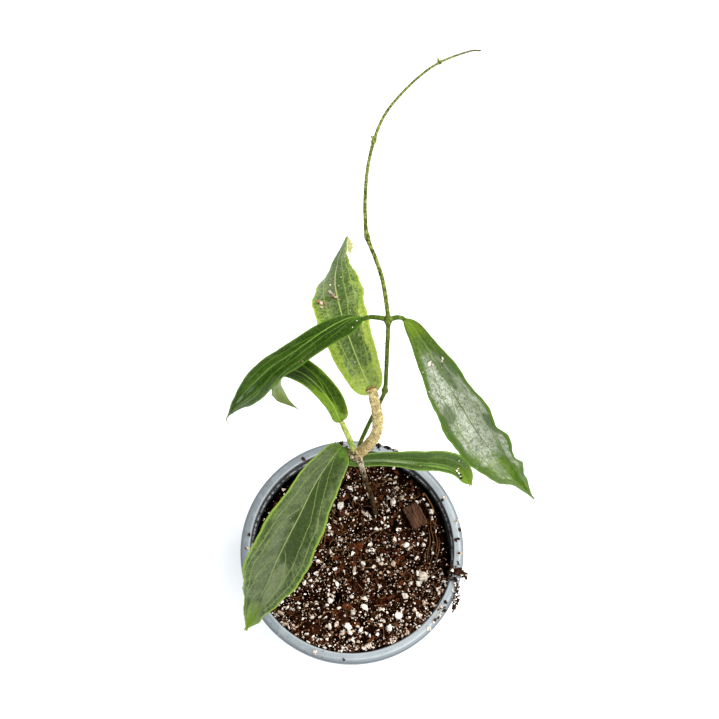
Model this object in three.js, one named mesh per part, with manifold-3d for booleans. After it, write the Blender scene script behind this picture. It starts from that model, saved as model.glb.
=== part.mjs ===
// A potted hoya: a nursery pot of potting mix, a short woody stem and one long
// arching shoot, with six leathery leaves. Millimetres, +Z up, with the origin at
// the centre of the pot's flat underside. The plant's longest shoot leans to +Y.

import * as THREE from 'three';
import { mergeVertices } from 'three/addons/utils/BufferGeometryUtils.js';
import Module from 'manifold-3d';

// ---- Pot ----
const POT_HEIGHT = 90;
const RIM_RADIUS = 52.5;            // a standard 10.5 cm nursery pot
const RIM_INNER_RADIUS = 47.8;
const RIM_ROUND = 1.2;              // the rim's rounded outer corner
const RIM_CHAMFER = 0.4;            // its inner corner
const SKIRT_HEIGHT = 9;             // the band that hangs from the rim
const SKIRT_TAPER = 0.4;
const WALL = 1.3;
const BASE_RADIUS = 37.5;
const BASE_CHAMFER = 1;
const BASE_THICKNESS = 1.6;
const LEDGE_DEPTH = 6;              // from the rim's top to the step inside it
const LEDGE_WIDTH = 0.7;
const LEDGE_HEIGHT = POT_HEIGHT - LEDGE_DEPTH;
const POT_SEGMENTS = 44;
const DRAIN_COUNT = 8;
const DRAIN_RADIUS = 3.2;
const DRAIN_RING = 27;
const DRAIN_SIDES = 16;

// ---- Soil ----
const GAP = 0.3;                    // between pieces that touch
const SOIL_TOP = 84.5;
const SOIL_SEED = 11;
const SOIL_RINGS = 8;
const SOIL_SECTORS = 32;
const FRONT_HEAP = 3;               // how much higher the soil lies at the front of the pot
const WALL_DIP = 2;                 // how much lower it lies along the rest of the wall
const RIGHT_DIP = 6;                // and lower still at the right
const LUMP = 1;                     // the height of the surface's own long lumps
const SHORT_LUMP = 0.6;
const GRAIN_COUNT = 42;             // perlite and pumice grains
const GRAIN_SIZE = [1.8, 2.7];
const BARK_COUNT = 22;
const BARK_SIZE = [4, 7];
const BARK_THICKNESS = 2;
const BARK_TILT = 0.3;
const WALL_MARGIN = 5;              // no grain's middle lies nearer to the wall
const CHIP_CENTRE = [30.2, 15.5, 86.1];     // the one large loose chip of bark
const CHIP_SIZE = [12, 8.2, 2.6];
const CHIP_TURN = -1.1;
const CHIP_CLEARANCE = 11;          // no grain's middle lies nearer to the chip's middle
const CHIP_SEAT = [8, 13];          // the soil is level this near to it, and lumpy that far out

// Lumps of potting mix that spilled over the rim: place, then size.
const SPILL = [[46.6, -12.6, 1.9], [49, -13, 2], [51.3, -14.6, 1.9], [49.4, -16.4, 2.2],
  [48.4, -18.9, 2.1], [47.8, -21.4, 2], [46.8, -23.8, 2], [46.4, -26.3, 1.9], [46.6, -28.6, 1.7]];
const SPILL_FLATNESS = 0.75;
const SPILL_SEAT = 0.65;            // the share of its size that a lump's middle lies above the rim

// ---- Stems ----
const STEM_SIDES = 10;
const NODE_A = [2.5, 22.8, 160];    // where the woody stem ends in a swollen node
const NODE_A_RADII = [2.3, 2.1, 2.6];
const WOODY_STEM = [[12.6, 13, 66], [11.6, 16, 82], [9.4, 20.8, 97], [7, 23.2, 113],
  [5, 24.2, 130], [3.8, 23.6, 146], NODE_A];
const WOODY_RADIUS = [1.15, 1.5];   // from the soil to the node
const WOODY_STEPS = 26;
const BURIED_POINTS = 3;            // the stem's first points, which its hole in the soil follows
const STEM_HOLE_RADIUS = 2.1;
const STEM_HOLE_STEPS = 6;
const STEM_HOLE_SIDES = 12;

const NODE_B = [14, 56, 215];       // the joint of the shoot that bears two leaves
const VINE = [[3.3, 25.3, 160.6], [4.4, 28.4, 161], [6.2, 32.1, 162], [7.8, 35.2, 163.4],
  [10.2, 38.6, 168], [12.1, 39.8, 176], [13.4, 40.2, 185], [13.7, 43.4, 194],
  [13.9, 49.5, 206], NODE_B, [13.1, 61.1, 221], [11.7, 66.4, 227], [9.4, 71.4, 232],
  [6.2, 77.4, 238], [5.5, 84.4, 241], [5.6, 93, 242.4], [6.6, 104.4, 243],
  [8.8, 116, 242], [12, 128, 239], [17, 140, 235], [26.7, 157.6, 228],
  [36.9, 173, 220], [51.4, 192.8, 205], [58, 200.8, 197]];
const VINE_RADII = [0.85, 0.8, 0.75, 0.52, 0.46, 0.42, 0.35];   // from its foot to its tip
const VINE_STEPS = 60;
const VINE_SIDES = 8;
const VINE_JOINTS = [                // the swollen joints of the shoot
  { centre: [13.4, 40.2, 185], radii: [1.1, 1.1, 1.5] },
  { centre: NODE_B, radii: [1.25, 1.2, 1.5] },
  { centre: [6.2, 77.4, 238], radii: [0.8, 1.1, 0.8] },
  { centre: [8.8, 116, 242], radii: [0.7, 1, 0.7] },
  { centre: [36.9, 173, 220], radii: [0.6, 0.7, 0.6] },
];

// ---- Leaves ----
const VIEWED = [0, -0.41, 0.91];    // most blades show their upper face this way
const BLADE_THICKNESS = 0.9;
const KEEL = 0.7;                   // how far the midrib stands out underneath, at the base
const KEEL_FALL = 16;               // how fast that fades across the blade
const BLADE_ROWS = 24;
const BLADE_COLUMNS = 6;
const TIP_WIDTH = 0.04;             // the least share of the half width, at the ends
const ROUNDNESS = 1.7;              // the powers that shape a blade's outline
const TIP_TAPER = 1.3;
const LEFT_WAVE_SHIFT = 1.3;        // how far the left edge's waves lead the right edge's
const PETIOLE_STEPS = 12;

// Each rib runs from the blade's base to its tip. `left` and `right` say how far
// that half rises from lying square to `faces`, in degrees, from base to tip.
const LEAVES = {
  leaf_lower_left: {
    rib: [[-3.6, 26, 159.5], [-13, 11, 162], [-22, -4, 157], [-29, -15, 144],
      [-35, -25, 129], [-41, -32, 113], [-47, -39, 98]],
    halfWidth: [14.5, 14.5], widest: 0.48, fullness: 0.6,
    left: [20, 24, 20, 28, 50, 20], right: [40, 42, 42, 28, 20, 40],
    wave: { left: 0.6, right: 0.6, count: 5, phase: 0 },
    petiole: [[-0.7, 23.4, 160.2], [-2.4, 24.8, 159.6], [-4.6, 24.9, 159.6], [-6.4, 22, 160.2]],
    petioleRadius: [1.5, 1.3], colour: 0x4c7336,
  },
  leaf_mottled: {
    rib: [[8.6, 40.4, 180.6], [1, 58, 185], [-4, 74, 186], [-6, 89, 182],
      [-6, 104, 174], [-4, 117, 164], [-2, 130, 154]],
    halfWidth: [11.5, 11.5], widest: 0.44, fullness: 0.42,
    left: [0, 15, 18, -12, -60, -85, -90], right: [0, 20, 20, 8, 24, 30, 0],
    wave: { left: 0.6, right: 0.6, count: 3, phase: 1 },
    petiole: [[4.7, 23.2, 162.1], [7.7, 25.1, 166], [10.3, 28, 170], [10.8, 32.8, 174],
      [9.7, 37.5, 178], [8.2, 41.4, 180.2], [6.8, 44.6, 181]],
    petioleRadius: [2.3, 2.1], colour: 0x7c9a4e,
  },
  leaf_curled: {
    rib: [[-3.8, 32.3, 172], [-7.2, 36, 183], [-14.2, 42, 189], [-21.2, 48, 185],
      [-27.2, 53, 174], [-30.3, 53.6, 160], [-29.4, 52.2, 147], [-24.2, 51.4, 136]],
    faces: [VIEWED, [-0.1, -0.3, 0.95], [-0.35, 0, 0.9], [-0.75, 0.6, 0.2]],
    halfWidth: [7.9, 8.2], widest: 0.6, fullness: 0.45,
    left: [36, 58, 58, 40, 20, 10], right: [16, 32, 45, 40, 20, 10],
    wave: { left: 0.3, right: 0.3, count: 2, phase: 0 },
    petiole: [[0.8, 24.2, 162.5], [-0.4, 26.4, 166], [-2.2, 29.2, 170], [-3.7, 32, 171.9],
      [-4.7, 33.2, 174.6]],
    petioleRadius: [1.05, 0.9], colour: 0x5d8a2c,
  },
  leaf_right: {
    rib: [[-2.9, 28.1, 129.4], [10.3, 30.4, 126.4], [21.6, 30.6, 124], [30.8, 30.5, 120],
      [40.3, 30.9, 115], [49.3, 30.8, 107.5], [57, 27.6, 96]],
    halfWidth: [11.5, 7.5], widest: 0.66, fullness: 0.5,
    left: [54, 57, 54, 42, 50, 30], right: [50, 66, 70, 76, 64, 20],
    wave: { left: 0.4, right: 0.4, count: 3, phase: 2 },
    petiole: [[-0.5, 22.2, 155.4], [-4, 22.8, 151.4], [-7, 24.4, 144], [-7.8, 26.4, 136],
      [-5.6, 27.7, 130], [-0.6, 28.5, 128.6]],
    petioleRadius: [1.2, 1.2], colour: 0x466f33,
  },
  leaf_vine_left: {
    rib: [[4.8, 58, 212], [-10, 53, 208], [-21, 51, 197], [-32, 50, 185],
      [-41, 48, 172], [-48, 47, 158], [-54, 45, 143]],
    halfWidth: [11, 7.6], widest: 0.6, fullness: 0.65,
    left: [50, 50, 48, 42, 38, 40], right: [15, 44, 54, 66, 77, 78],
    wave: { left: 0.3, right: 0.3, count: 3, phase: 0 },
    petiole: [[12.45, 56.6, 214.8], [10.3, 57.2, 214.5], [7.4, 57.9, 213.4],
      [4.4, 57.9, 211.9], [1.6, 57, 211.6]],
    petioleRadius: [0.85, 0.75], colour: 0x3a6b22,
  },
  leaf_vine_right: {
    rib: [[20, 58, 212], [29, 43, 212], [39, 31, 205], [48, 22, 193],
      [57, 14, 180], [66, 10, 165], [75, 6, 151]],
    halfWidth: [12.5, 12.5], widest: 0.5, fullness: 0.7,
    left: [30, 52, 62, 60, 54, 44], right: [70, 38, 14, 28, 62, 64],
    wave: { left: 1.1, right: 0.5, count: 6.3, phase: 0.8 },
    petiole: [[15.55, 56.6, 214.8], [17.2, 57.3, 214.4], [19.6, 58, 212.2], [21.6, 55, 211.9]],
    petioleRadius: [0.85, 0.75], colour: 0x6d9150,
  },
};

// ---- Finishes: colour, then roughness ----
const LEAF_ROUGHNESS = 0.45;
const POT_FINISH = [0xa5b2ba, 0.4];
const SOIL_FINISH = [0x2e1e16, 0.95];
const CHIP_FINISH = [0x5a3a26, 0.9];
const SPILL_FINISH = [0x3a281d, 0.95];
const WOODY_FINISH = [0x6f5a46, 0.85];
const VINE_FINISH = [0x3f6326, 0.6];

const wasm = await Module();
wasm.setup();

// ---- Helpers ----

/** A closed geometry as a solid that can be cut and joined. */
function solidOf(geometry) {
  const bare = geometry.clone();
  bare.deleteAttribute('normal');
  bare.deleteAttribute('uv');
  const merged = mergeVertices(bare, 1e-4);
  const corners = merged.index.array;
  const triVerts = [];
  for (let i = 0; i < corners.length; i += 3) {
    const [a, b, c] = [corners[i], corners[i + 1], corners[i + 2]];
    if (a !== b && b !== c && c !== a) triVerts.push(a, b, c);
  }
  return new wasm.Manifold(new wasm.Mesh({
    numProp: 3,
    vertProperties: new Float32Array(merged.attributes.position.array),
    triVerts: new Uint32Array(triVerts),
  }));
}

/** A solid's surface as a geometry. */
function geometryOf(solid) {
  const surface = solid.getMesh();
  const geometry = new THREE.BufferGeometry();
  geometry.setAttribute('position', new THREE.BufferAttribute(surface.vertProperties, 3));
  geometry.setIndex(new THREE.BufferAttribute(surface.triVerts, 1));
  geometry.computeVertexNormals();
  return geometry;
}

/** One named piece. */
function piece(name, geometry, [color, roughness]) {
  const material = new THREE.MeshStandardMaterial({ color, roughness, metalness: 0 });
  const mesh = new THREE.Mesh(geometry, material);
  mesh.name = name;
  return mesh;
}

/** Repeatable random numbers from 0 to 1. */
function randomFrom(seed) {
  let state = seed;
  return () => {
    state = (state * 16807) % 2147483647;
    return state / 2147483647;
  };
}

const between = ([low, high], share) => low + (high - low) * share;
const join = (solids) => solids.reduce((all, solid) => all.add(solid));
const vector = (point) => new THREE.Vector3(...point);

function curveThrough(points) {
  return new THREE.CatmullRomCurve3(points.map(vector), false, 'catmullrom', 0.5);
}

/** The value at `share` of the way along a list, on a smooth line through it. */
function valueAlong(values, share) {
  const line = new THREE.SplineCurve(values.map((value, i) => new THREE.Vector2(i, value)));
  return line.getPoint(share).y;
}

/** A closed round tube along a curve, with a radius for each share of its length. */
function tube(points, radiusAt, steps, sides) {
  const path = curveThrough(points);
  const section = new THREE.Shape().absarc(0, 0, 1, 0, 2 * Math.PI, false);
  const geometry = new THREE.ExtrudeGeometry(section, {
    steps, curveSegments: sides / 2, extrudePath: path, bevelEnabled: false,
  });
  const centres = path.getSpacedPoints(steps);
  const position = geometry.attributes.position;
  const point = new THREE.Vector3();
  for (let i = 0; i < position.count; i++) {
    point.fromBufferAttribute(position, i);
    const reach = centres.map((centre) => centre.distanceTo(point));
    const nearest = reach.indexOf(Math.min(...reach));
    point.sub(centres[nearest]).multiplyScalar(radiusAt(nearest / steps)).add(centres[nearest]);
    position.setXYZ(i, point.x, point.y, point.z);
  }
  return solidOf(geometry);
}

/** A ball, stretched along the axes. */
function ball(centre, radii, detail) {
  const geometry = new THREE.IcosahedronGeometry(1, detail);
  geometry.scale(...radii);
  geometry.translate(...centre);
  return solidOf(geometry);
}

/** A chip of bark: a box, tilted and then turned. */
function barkChip(centre, size, turn, tilt) {
  const geometry = new THREE.BoxGeometry(...size);
  geometry.rotateX(tilt);
  geometry.rotateZ(turn);
  geometry.translate(...centre);
  return solidOf(geometry);
}

// ---- Pot ----

/** The inner wall's radius at a height below the ledge. */
function innerRadius(height) {
  const foot = BASE_RADIUS - WALL;
  return foot + (RIM_INNER_RADIUS - LEDGE_WIDTH - foot) * (height / LEDGE_HEIGHT);
}

/** Half of the pot's section, from the middle of its underside round to the middle of its floor. */
function potProfile() {
  const skirtFoot = POT_HEIGHT - SKIRT_HEIGHT;
  const rimUnder = POT_HEIGHT - WALL;
  const rimCorner = [RIM_RADIUS - RIM_ROUND, POT_HEIGHT - RIM_ROUND];
  const profile = new THREE.Path();
  profile.moveTo(0, 0);
  profile.lineTo(BASE_RADIUS - BASE_CHAMFER, 0);
  profile.lineTo(innerRadius(BASE_CHAMFER) + WALL, BASE_CHAMFER);
  profile.lineTo(innerRadius(LEDGE_HEIGHT) + WALL, LEDGE_HEIGHT - WALL);
  profile.lineTo(RIM_INNER_RADIUS + WALL, LEDGE_HEIGHT);
  profile.lineTo(RIM_INNER_RADIUS + WALL, rimUnder);
  profile.lineTo(RIM_RADIUS - WALL, rimUnder);
  profile.lineTo(RIM_RADIUS - WALL - SKIRT_TAPER, skirtFoot);
  profile.lineTo(RIM_RADIUS - SKIRT_TAPER, skirtFoot);
  profile.lineTo(RIM_RADIUS, POT_HEIGHT - RIM_ROUND);
  profile.absarc(...rimCorner, RIM_ROUND, 0, Math.PI / 2, false);
  profile.lineTo(RIM_INNER_RADIUS + RIM_CHAMFER, POT_HEIGHT);
  profile.lineTo(RIM_INNER_RADIUS, POT_HEIGHT - RIM_CHAMFER);
  profile.lineTo(RIM_INNER_RADIUS, LEDGE_HEIGHT);
  profile.lineTo(innerRadius(LEDGE_HEIGHT), LEDGE_HEIGHT);
  profile.lineTo(innerRadius(BASE_THICKNESS), BASE_THICKNESS);
  profile.lineTo(0, BASE_THICKNESS);
  return profile.getPoints(3);
}

function potGeometry() {
  const shell = new THREE.LatheGeometry(potProfile(), POT_SEGMENTS);
  shell.rotateX(Math.PI / 2);
  let pot = solidOf(shell);
  for (let i = 0; i < DRAIN_COUNT; i++) {
    const turn = (2 * Math.PI * (i + 0.5)) / DRAIN_COUNT;
    const depth = 4 * BASE_THICKNESS;
    const drain = new THREE.CylinderGeometry(DRAIN_RADIUS, DRAIN_RADIUS, depth, DRAIN_SIDES);
    drain.rotateX(Math.PI / 2);
    drain.translate(DRAIN_RING * Math.cos(turn), DRAIN_RING * Math.sin(turn), 0);
    pot = pot.subtract(solidOf(drain));
  }
  return geometryOf(pot);
}

// ---- Soil ----

/** How far a place is from the middle of the loose chip. */
function fromChip(x, y) {
  return Math.hypot(x - CHIP_CENTRE[0], y - CHIP_CENTRE[1]);
}

/** The height of the soil's surface, which is level under the loose chip. */
function soilHeight(x, y) {
  const share = Math.hypot(x, y) / RIM_INNER_RADIUS;
  const toRight = Math.max(0, x / RIM_INNER_RADIUS - Math.abs(y - 8) / 60);
  const toFront = Math.max(0, -y / RIM_INNER_RADIUS);
  const heap = FRONT_HEAP * toFront * share ** 2;
  const dip = WALL_DIP * (1 - toFront) * share ** 6 + RIGHT_DIP * toRight ** 6;
  const longLumps = LUMP * Math.sin(0.31 * x + 1) * Math.cos(0.27 * y);
  const shortLumps = SHORT_LUMP * Math.sin(0.83 * x - 0.6 * y);
  const open = SOIL_TOP + heap - dip + (longLumps + shortLumps) * (1 - share ** 6);
  const seat = CHIP_CENTRE[2] - CHIP_SIZE[2] / 2 - GAP;
  return THREE.MathUtils.lerp(seat, open, THREE.MathUtils.smoothstep(fromChip(x, y), ...CHIP_SEAT));
}

/** The potting mix itself, from the pot's floor to its lumpy top. */
function soilBody() {
  const foot = BASE_THICKNESS + GAP;
  const ringAt = (ring) => 1 + (ring - 1) * SOIL_SECTORS;
  const positions = [0, 0, soilHeight(0, 0)];
  const addRing = (radiusAt, heightAt) => {
    for (let i = 0; i < SOIL_SECTORS; i++) {
      const turn = (2 * Math.PI * i) / SOIL_SECTORS;
      const radius = radiusAt(turn);
      const [x, y] = [radius * Math.cos(turn), radius * Math.sin(turn)];
      positions.push(x, y, heightAt(x, y));
    }
  };
  const usualRadius = innerRadius(SOIL_TOP) - GAP;
  const wallRadius = (turn) => {
    const height = soilHeight(usualRadius * Math.cos(turn), usualRadius * Math.sin(turn));
    return innerRadius(Math.min(height, LEDGE_HEIGHT)) - GAP;
  };
  for (let ring = 1; ring <= SOIL_RINGS; ring++) {
    addRing((turn) => (wallRadius(turn) * ring) / SOIL_RINGS, soilHeight);
  }
  addRing(() => innerRadius(foot) - GAP, () => foot);
  positions.push(0, 0, foot);

  const underside = positions.length / 3 - 1;
  const index = [];
  for (let i = 0; i < SOIL_SECTORS; i++) {
    const next = (i + 1) % SOIL_SECTORS;
    index.push(0, ringAt(1) + i, ringAt(1) + next);
    for (let ring = 1; ring <= SOIL_RINGS; ring++) {
      const [inner, outer] = [ringAt(ring), ringAt(ring + 1)];
      index.push(inner + i, outer + i, outer + next);
      index.push(inner + i, outer + next, inner + next);
    }
    const floor = ringAt(SOIL_RINGS + 1);
    index.push(underside, floor + next, floor + i);
  }
  const geometry = new THREE.BufferGeometry();
  geometry.setAttribute('position', new THREE.Float32BufferAttribute(positions, 3));
  geometry.setIndex(index);
  return solidOf(geometry);
}

/** The hole that the woody stem stands in. */
function stemHole() {
  const [foot, ...rest] = WOODY_STEM.slice(0, BURIED_POINTS);
  const deeper = [foot[0], foot[1], foot[2] - 2 * GAP];
  return tube([deeper, ...rest], () => STEM_HOLE_RADIUS, STEM_HOLE_STEPS, STEM_HOLE_SIDES);
}

/** The mix with its grains and bark, which stand out of its top. */
function soilGeometry() {
  const random = randomFrom(SOIL_SEED);
  const spot = () => {
    const radius = (innerRadius(SOIL_TOP) - WALL_MARGIN) * Math.sqrt(random());
    const turn = 2 * Math.PI * random();
    const place = [radius * Math.cos(turn), radius * Math.sin(turn)];
    return fromChip(...place) < CHIP_CLEARANCE ? spot() : place;
  };
  const solids = [soilBody()];
  for (let i = 0; i < GRAIN_COUNT; i++) {
    const [x, y] = spot();
    const size = between(GRAIN_SIZE, random());
    const centre = [x, y, soilHeight(x, y) - 0.1 * size];
    solids.push(ball(centre, [size, 0.8 * size, 0.75 * size], 0));
  }
  for (let i = 0; i < BARK_COUNT; i++) {
    const [x, y] = spot();
    const length = between(BARK_SIZE, random());
    const turn = Math.PI * random();
    const tilt = between([-BARK_TILT, BARK_TILT], random());
    const size = [length, length / 2, BARK_THICKNESS];
    solids.push(barkChip([x, y, soilHeight(x, y)], size, turn, tilt));
  }
  return geometryOf(join(solids).subtract(stemHole()));
}

function barkChipGeometry() {
  return geometryOf(barkChip(CHIP_CENTRE, CHIP_SIZE, CHIP_TURN, 0));
}

/** The heap of mix that lies on the rim. */
function spilledSoilGeometry() {
  const top = POT_HEIGHT + GAP;
  const lumps = SPILL.map(([x, y, size], i) => {
    const breadth = i % 2 ? 1.2 * size : 1.1 * size;
    return ball([x, y, top + SPILL_SEAT * size], [size, breadth, SPILL_FLATNESS * size], 0);
  });
  return geometryOf(join(lumps));
}

// ---- Stems ----

function woodyStemGeometry() {
  const stem = tube(WOODY_STEM, (share) => between(WOODY_RADIUS, share), WOODY_STEPS, STEM_SIDES);
  return geometryOf(stem.add(ball(NODE_A, NODE_A_RADII, 1)));
}

function vineGeometry() {
  const shoot = tube(VINE, (share) => valueAlong(VINE_RADII, share), VINE_STEPS, VINE_SIDES);
  const joints = VINE_JOINTS.map(({ centre, radii }) => ball(centre, radii, 1));
  return geometryOf(join([shoot, ...joints]));
}

// ---- Leaves ----

/** The share of the half width that the blade has at a share of its length. */
function widthShare({ widest, fullness }, share) {
  if (share < widest) {
    const rise = (1 - Math.abs(1 - share / widest) ** ROUNDNESS) ** fullness;
    return Math.max(TIP_WIDTH, rise);
  }
  const past = (share - widest) / (1 - widest);
  return Math.max(TIP_WIDTH, Math.max(0, 1 - past ** ROUNDNESS) ** TIP_TAPER);
}

/** The way that the blade's upper face looks at a share of its length. */
function faceAt({ faces = [VIEWED, VIEWED] }, share) {
  const along = (axis) => valueAlong(faces.map((direction) => direction[axis]), share);
  return new THREE.Vector3(along(0), along(1), along(2));
}

/** How far an edge's wave lifts the blade. */
function ripple({ wave }, share, across) {
  const [height, shift] = across < 0 ? [wave.left, LEFT_WAVE_SHIFT] : [wave.right, 0];
  const turn = 2 * Math.PI * wave.count * share + wave.phase + shift;
  return height * across ** 2 * Math.sin(Math.PI * share) * Math.sin(turn);
}

/** A point of a blade: `across` runs from -1 to 1, `layer` is 1 above and -1 below. */
function bladePoint(leaf, rib, share, across, layer) {
  const ahead = rib.getTangentAt(share);
  const side = ahead.clone().cross(faceAt(leaf, share)).normalize();
  const up = side.clone().cross(ahead).normalize();
  const left = THREE.MathUtils.degToRad(valueAlong(leaf.left, share));
  const right = THREE.MathUtils.degToRad(valueAlong(leaf.right, share));
  const turns = { '-1': -left, 0: (right - left) / 2, 1: right };
  const turn = turns[Math.sign(across)];
  const keel = layer < 0 ? KEEL * (1 - share) * Math.exp(-KEEL_FALL * Math.abs(across)) : 0;
  const lift = ripple(leaf, share, across) + layer * (BLADE_THICKNESS / 2 + keel);
  const reach = leaf.halfWidth[across < 0 ? 0 : 1] * widthShare(leaf, share) * across;
  return rib.getPointAt(share)
    .addScaledVector(side, reach * Math.cos(turn) - lift * Math.sin(turn))
    .addScaledVector(up, reach * Math.sin(turn) + lift * Math.cos(turn));
}

/** A leaf's blade as a closed shell, split into triangles alike on both faces. */
function bladeSolid(leaf) {
  const rib = curveThrough(leaf.rib);
  const positions = [];
  for (const layer of [1, -1]) {
    for (let row = 0; row <= BLADE_ROWS; row++) {
      for (let column = 0; column <= BLADE_COLUMNS; column++) {
        const across = (2 * column) / BLADE_COLUMNS - 1;
        positions.push(...bladePoint(leaf, rib, row / BLADE_ROWS, across, layer).toArray());
      }
    }
  }
  const width = BLADE_COLUMNS + 1;
  const under = width * (BLADE_ROWS + 1);
  const at = (row, column) => row * width + column;
  const index = [];
  const wall = (a, b) => index.push(a, a + under, b, b, a + under, b + under);
  for (let row = 0; row < BLADE_ROWS; row++) {
    for (let column = 0; column < BLADE_COLUMNS; column++) {
      const [a, b] = [at(row, column), at(row, column + 1)];
      const [c, d] = [at(row + 1, column + 1), at(row + 1, column)];
      index.push(a, b, c, a, c, d);
      index.push(under + a, under + c, under + b, under + a, under + d, under + c);
    }
    wall(at(row + 1, 0), at(row, 0));
    wall(at(row, BLADE_COLUMNS), at(row + 1, BLADE_COLUMNS));
  }
  for (let column = 0; column < BLADE_COLUMNS; column++) {
    wall(at(0, column), at(0, column + 1));
    wall(at(BLADE_ROWS, column + 1), at(BLADE_ROWS, column));
  }
  const geometry = new THREE.BufferGeometry();
  geometry.setAttribute('position', new THREE.Float32BufferAttribute(positions, 3));
  geometry.setIndex(index);
  return solidOf(geometry);
}

function leafGeometry(leaf) {
  const radiusAt = (share) => between(leaf.petioleRadius, share);
  const petiole = tube(leaf.petiole, radiusAt, PETIOLE_STEPS, STEM_SIDES);
  return geometryOf(bladeSolid(leaf).add(petiole));
}

// ---- The whole plant ----

const plant = new THREE.Group();
plant.add(piece('pot', potGeometry(), POT_FINISH));
plant.add(piece('soil', soilGeometry(), SOIL_FINISH));
plant.add(piece('bark_chip', barkChipGeometry(), CHIP_FINISH));
plant.add(piece('spilled_soil', spilledSoilGeometry(), SPILL_FINISH));
plant.add(piece('woody_stem', woodyStemGeometry(), WOODY_FINISH));
plant.add(piece('vine', vineGeometry(), VINE_FINISH));
for (const [name, leaf] of Object.entries(LEAVES)) {
  plant.add(piece(name, leafGeometry(leaf), [leaf.colour, LEAF_ROUGHNESS]));
}

export default plant;
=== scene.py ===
import math

import bmesh
import bpy
import numpy as np
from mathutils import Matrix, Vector, noise


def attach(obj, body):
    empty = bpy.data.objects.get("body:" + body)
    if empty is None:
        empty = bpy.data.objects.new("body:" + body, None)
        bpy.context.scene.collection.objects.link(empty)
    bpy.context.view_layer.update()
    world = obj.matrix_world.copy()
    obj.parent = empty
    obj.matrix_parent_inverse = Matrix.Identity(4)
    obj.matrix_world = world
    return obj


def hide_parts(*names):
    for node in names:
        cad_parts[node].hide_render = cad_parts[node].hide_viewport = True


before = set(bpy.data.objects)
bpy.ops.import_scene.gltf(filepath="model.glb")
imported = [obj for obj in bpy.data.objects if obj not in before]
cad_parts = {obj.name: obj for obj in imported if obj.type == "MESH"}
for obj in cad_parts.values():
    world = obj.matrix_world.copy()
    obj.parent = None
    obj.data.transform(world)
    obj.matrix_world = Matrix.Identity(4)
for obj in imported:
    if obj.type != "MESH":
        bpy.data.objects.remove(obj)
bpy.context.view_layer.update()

# Sizes and places are in millimetres, in the part's own frame, until a mesh is made.
MM = 0.001
TURN = 2 * math.pi

# ---- Pot ----
POT_HEIGHT = 90
RIM_RADIUS = 52.5
RIM_INNER_RADIUS = 47.8
RIM_ROUND = 1.9               # the rounding of the rim's outer edge, and of its inner lip
LIP_ROUND = 0.8
RIM_FALL = 0.15               # how far the rim's top falls towards its inner lip
RIM_CREST = 2.6               # how far inside the rim's outer edge its top is highest
SKIRT_HEIGHT = 9
SKIRT_TAPER = 0.4
SKIRT_CHAMFER = 0.3
WALL = 1.3
BASE_RADIUS = 37.5
BASE_CHAMFER = 1
BASE_THICKNESS = 1.6
LEDGE_DEPTH = 6
LEDGE_WIDTH = 0.7
LEDGE_HEIGHT = POT_HEIGHT - LEDGE_DEPTH
DRAIN_COUNT = 8
DRAIN_RADIUS = 3.2
DRAIN_RING = 27

# ---- Soil ----
GAP = 0.3                     # between the mix and what it lies against or under
SOIL_TOP = 84.5
SPILL_HEAP = 2.2              # how far the mix rises towards the spill, and towards the front
FRONT_HEAP = 4.4
WALL_DIP = 2                  # how far it sinks by the wall, and further still at the right
RIGHT_DIP = 6
LUMP = 1                      # the height of its long lumps, and of its short ones
SHORT_LUMP = 0.6
SOIL_ROUGHNESS = ((0.3, 3.0, 0.9), (0.8, 8.0, 0.8), (1.9, 5.0, 0.5))   # scales, seeds and heights
CHIP_CENTRE = (30.2, 15.5, 86.1)
CHIP_SIZE = (12, 8.2, 2.6)
CHIP_TURN = -1.1
CHIP_SEAT = (8, 13)           # how far from the chip's centre its level seat begins and ends to fade

# ---- Stems ----
NODE_A = (2.5, 22.8, 160)
WOODY_STEM = [(12.6, 13, 66), (11.6, 16, 82), (9.4, 20.8, 97), (7, 23.2, 113),
              (5, 24.2, 130), (3.8, 23.6, 146), NODE_A]
NODE_B = (14, 56, 215)
VINE = [(3.3, 25.3, 160.6), (4.4, 28.4, 161), (6.2, 32.1, 162), (7.8, 35.2, 163.4),
        (10.2, 38.6, 168), (12.1, 39.8, 176), (13.4, 40.2, 185), (13.7, 43.4, 194),
        (13.9, 49.5, 206), NODE_B, (13.1, 61.1, 221), (11.7, 66.4, 227), (9.4, 71.4, 232),
        (6.2, 77.4, 238), (5.5, 84.4, 241), (5.6, 93, 242.4), (6.6, 104.4, 243),
        (8.8, 116, 242), (12, 128, 239), (17, 140, 235), (26.7, 157.6, 228),
        (36.9, 173, 220), (51.4, 192.8, 205), (58, 200.8, 197)]
VINE_RADII = [0.88, 0.84, 0.8, 0.64, 0.57, 0.52, 0.42]   # at even shares of its length

# ---- Leaves ----
VIEWED = (0, -0.41, 0.91)     # the way from the plant to the camera
BLADE_THICKNESS = 0.9
KEEL = 0.7                    # how far the keel stands out below the rib, and how fast it falls away
KEEL_FALL = 16
MIDRIB_HEIGHT = 0.3
MIDRIB_WIDTH = 0.06           # widths of ribs and veins are shares of the half width
VEIN_HEIGHT = 0.16
VEIN_WIDTH = 0.035
TIP_WIDTH = 0.04
ROUNDNESS = 1.7               # of the outline
TIP_TAPER = 1.3
LEFT_WAVE_SHIFT = 1.3
BLADE_ROWS = 190
BLADE_COLUMNS = 56
MARGIN_CROWDING = 0.97        # how closely the columns crowd towards the margins
FOLD = (0.22, 0.7)            # how much of its turn a half has at the rib, and where it has it all
JAG = (0.3, 0.12)             # how far the margin wanders, in long and in short waves
JAG_WAVES = (7.3, 23)         # how many of these waves there are along a leaf

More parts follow.
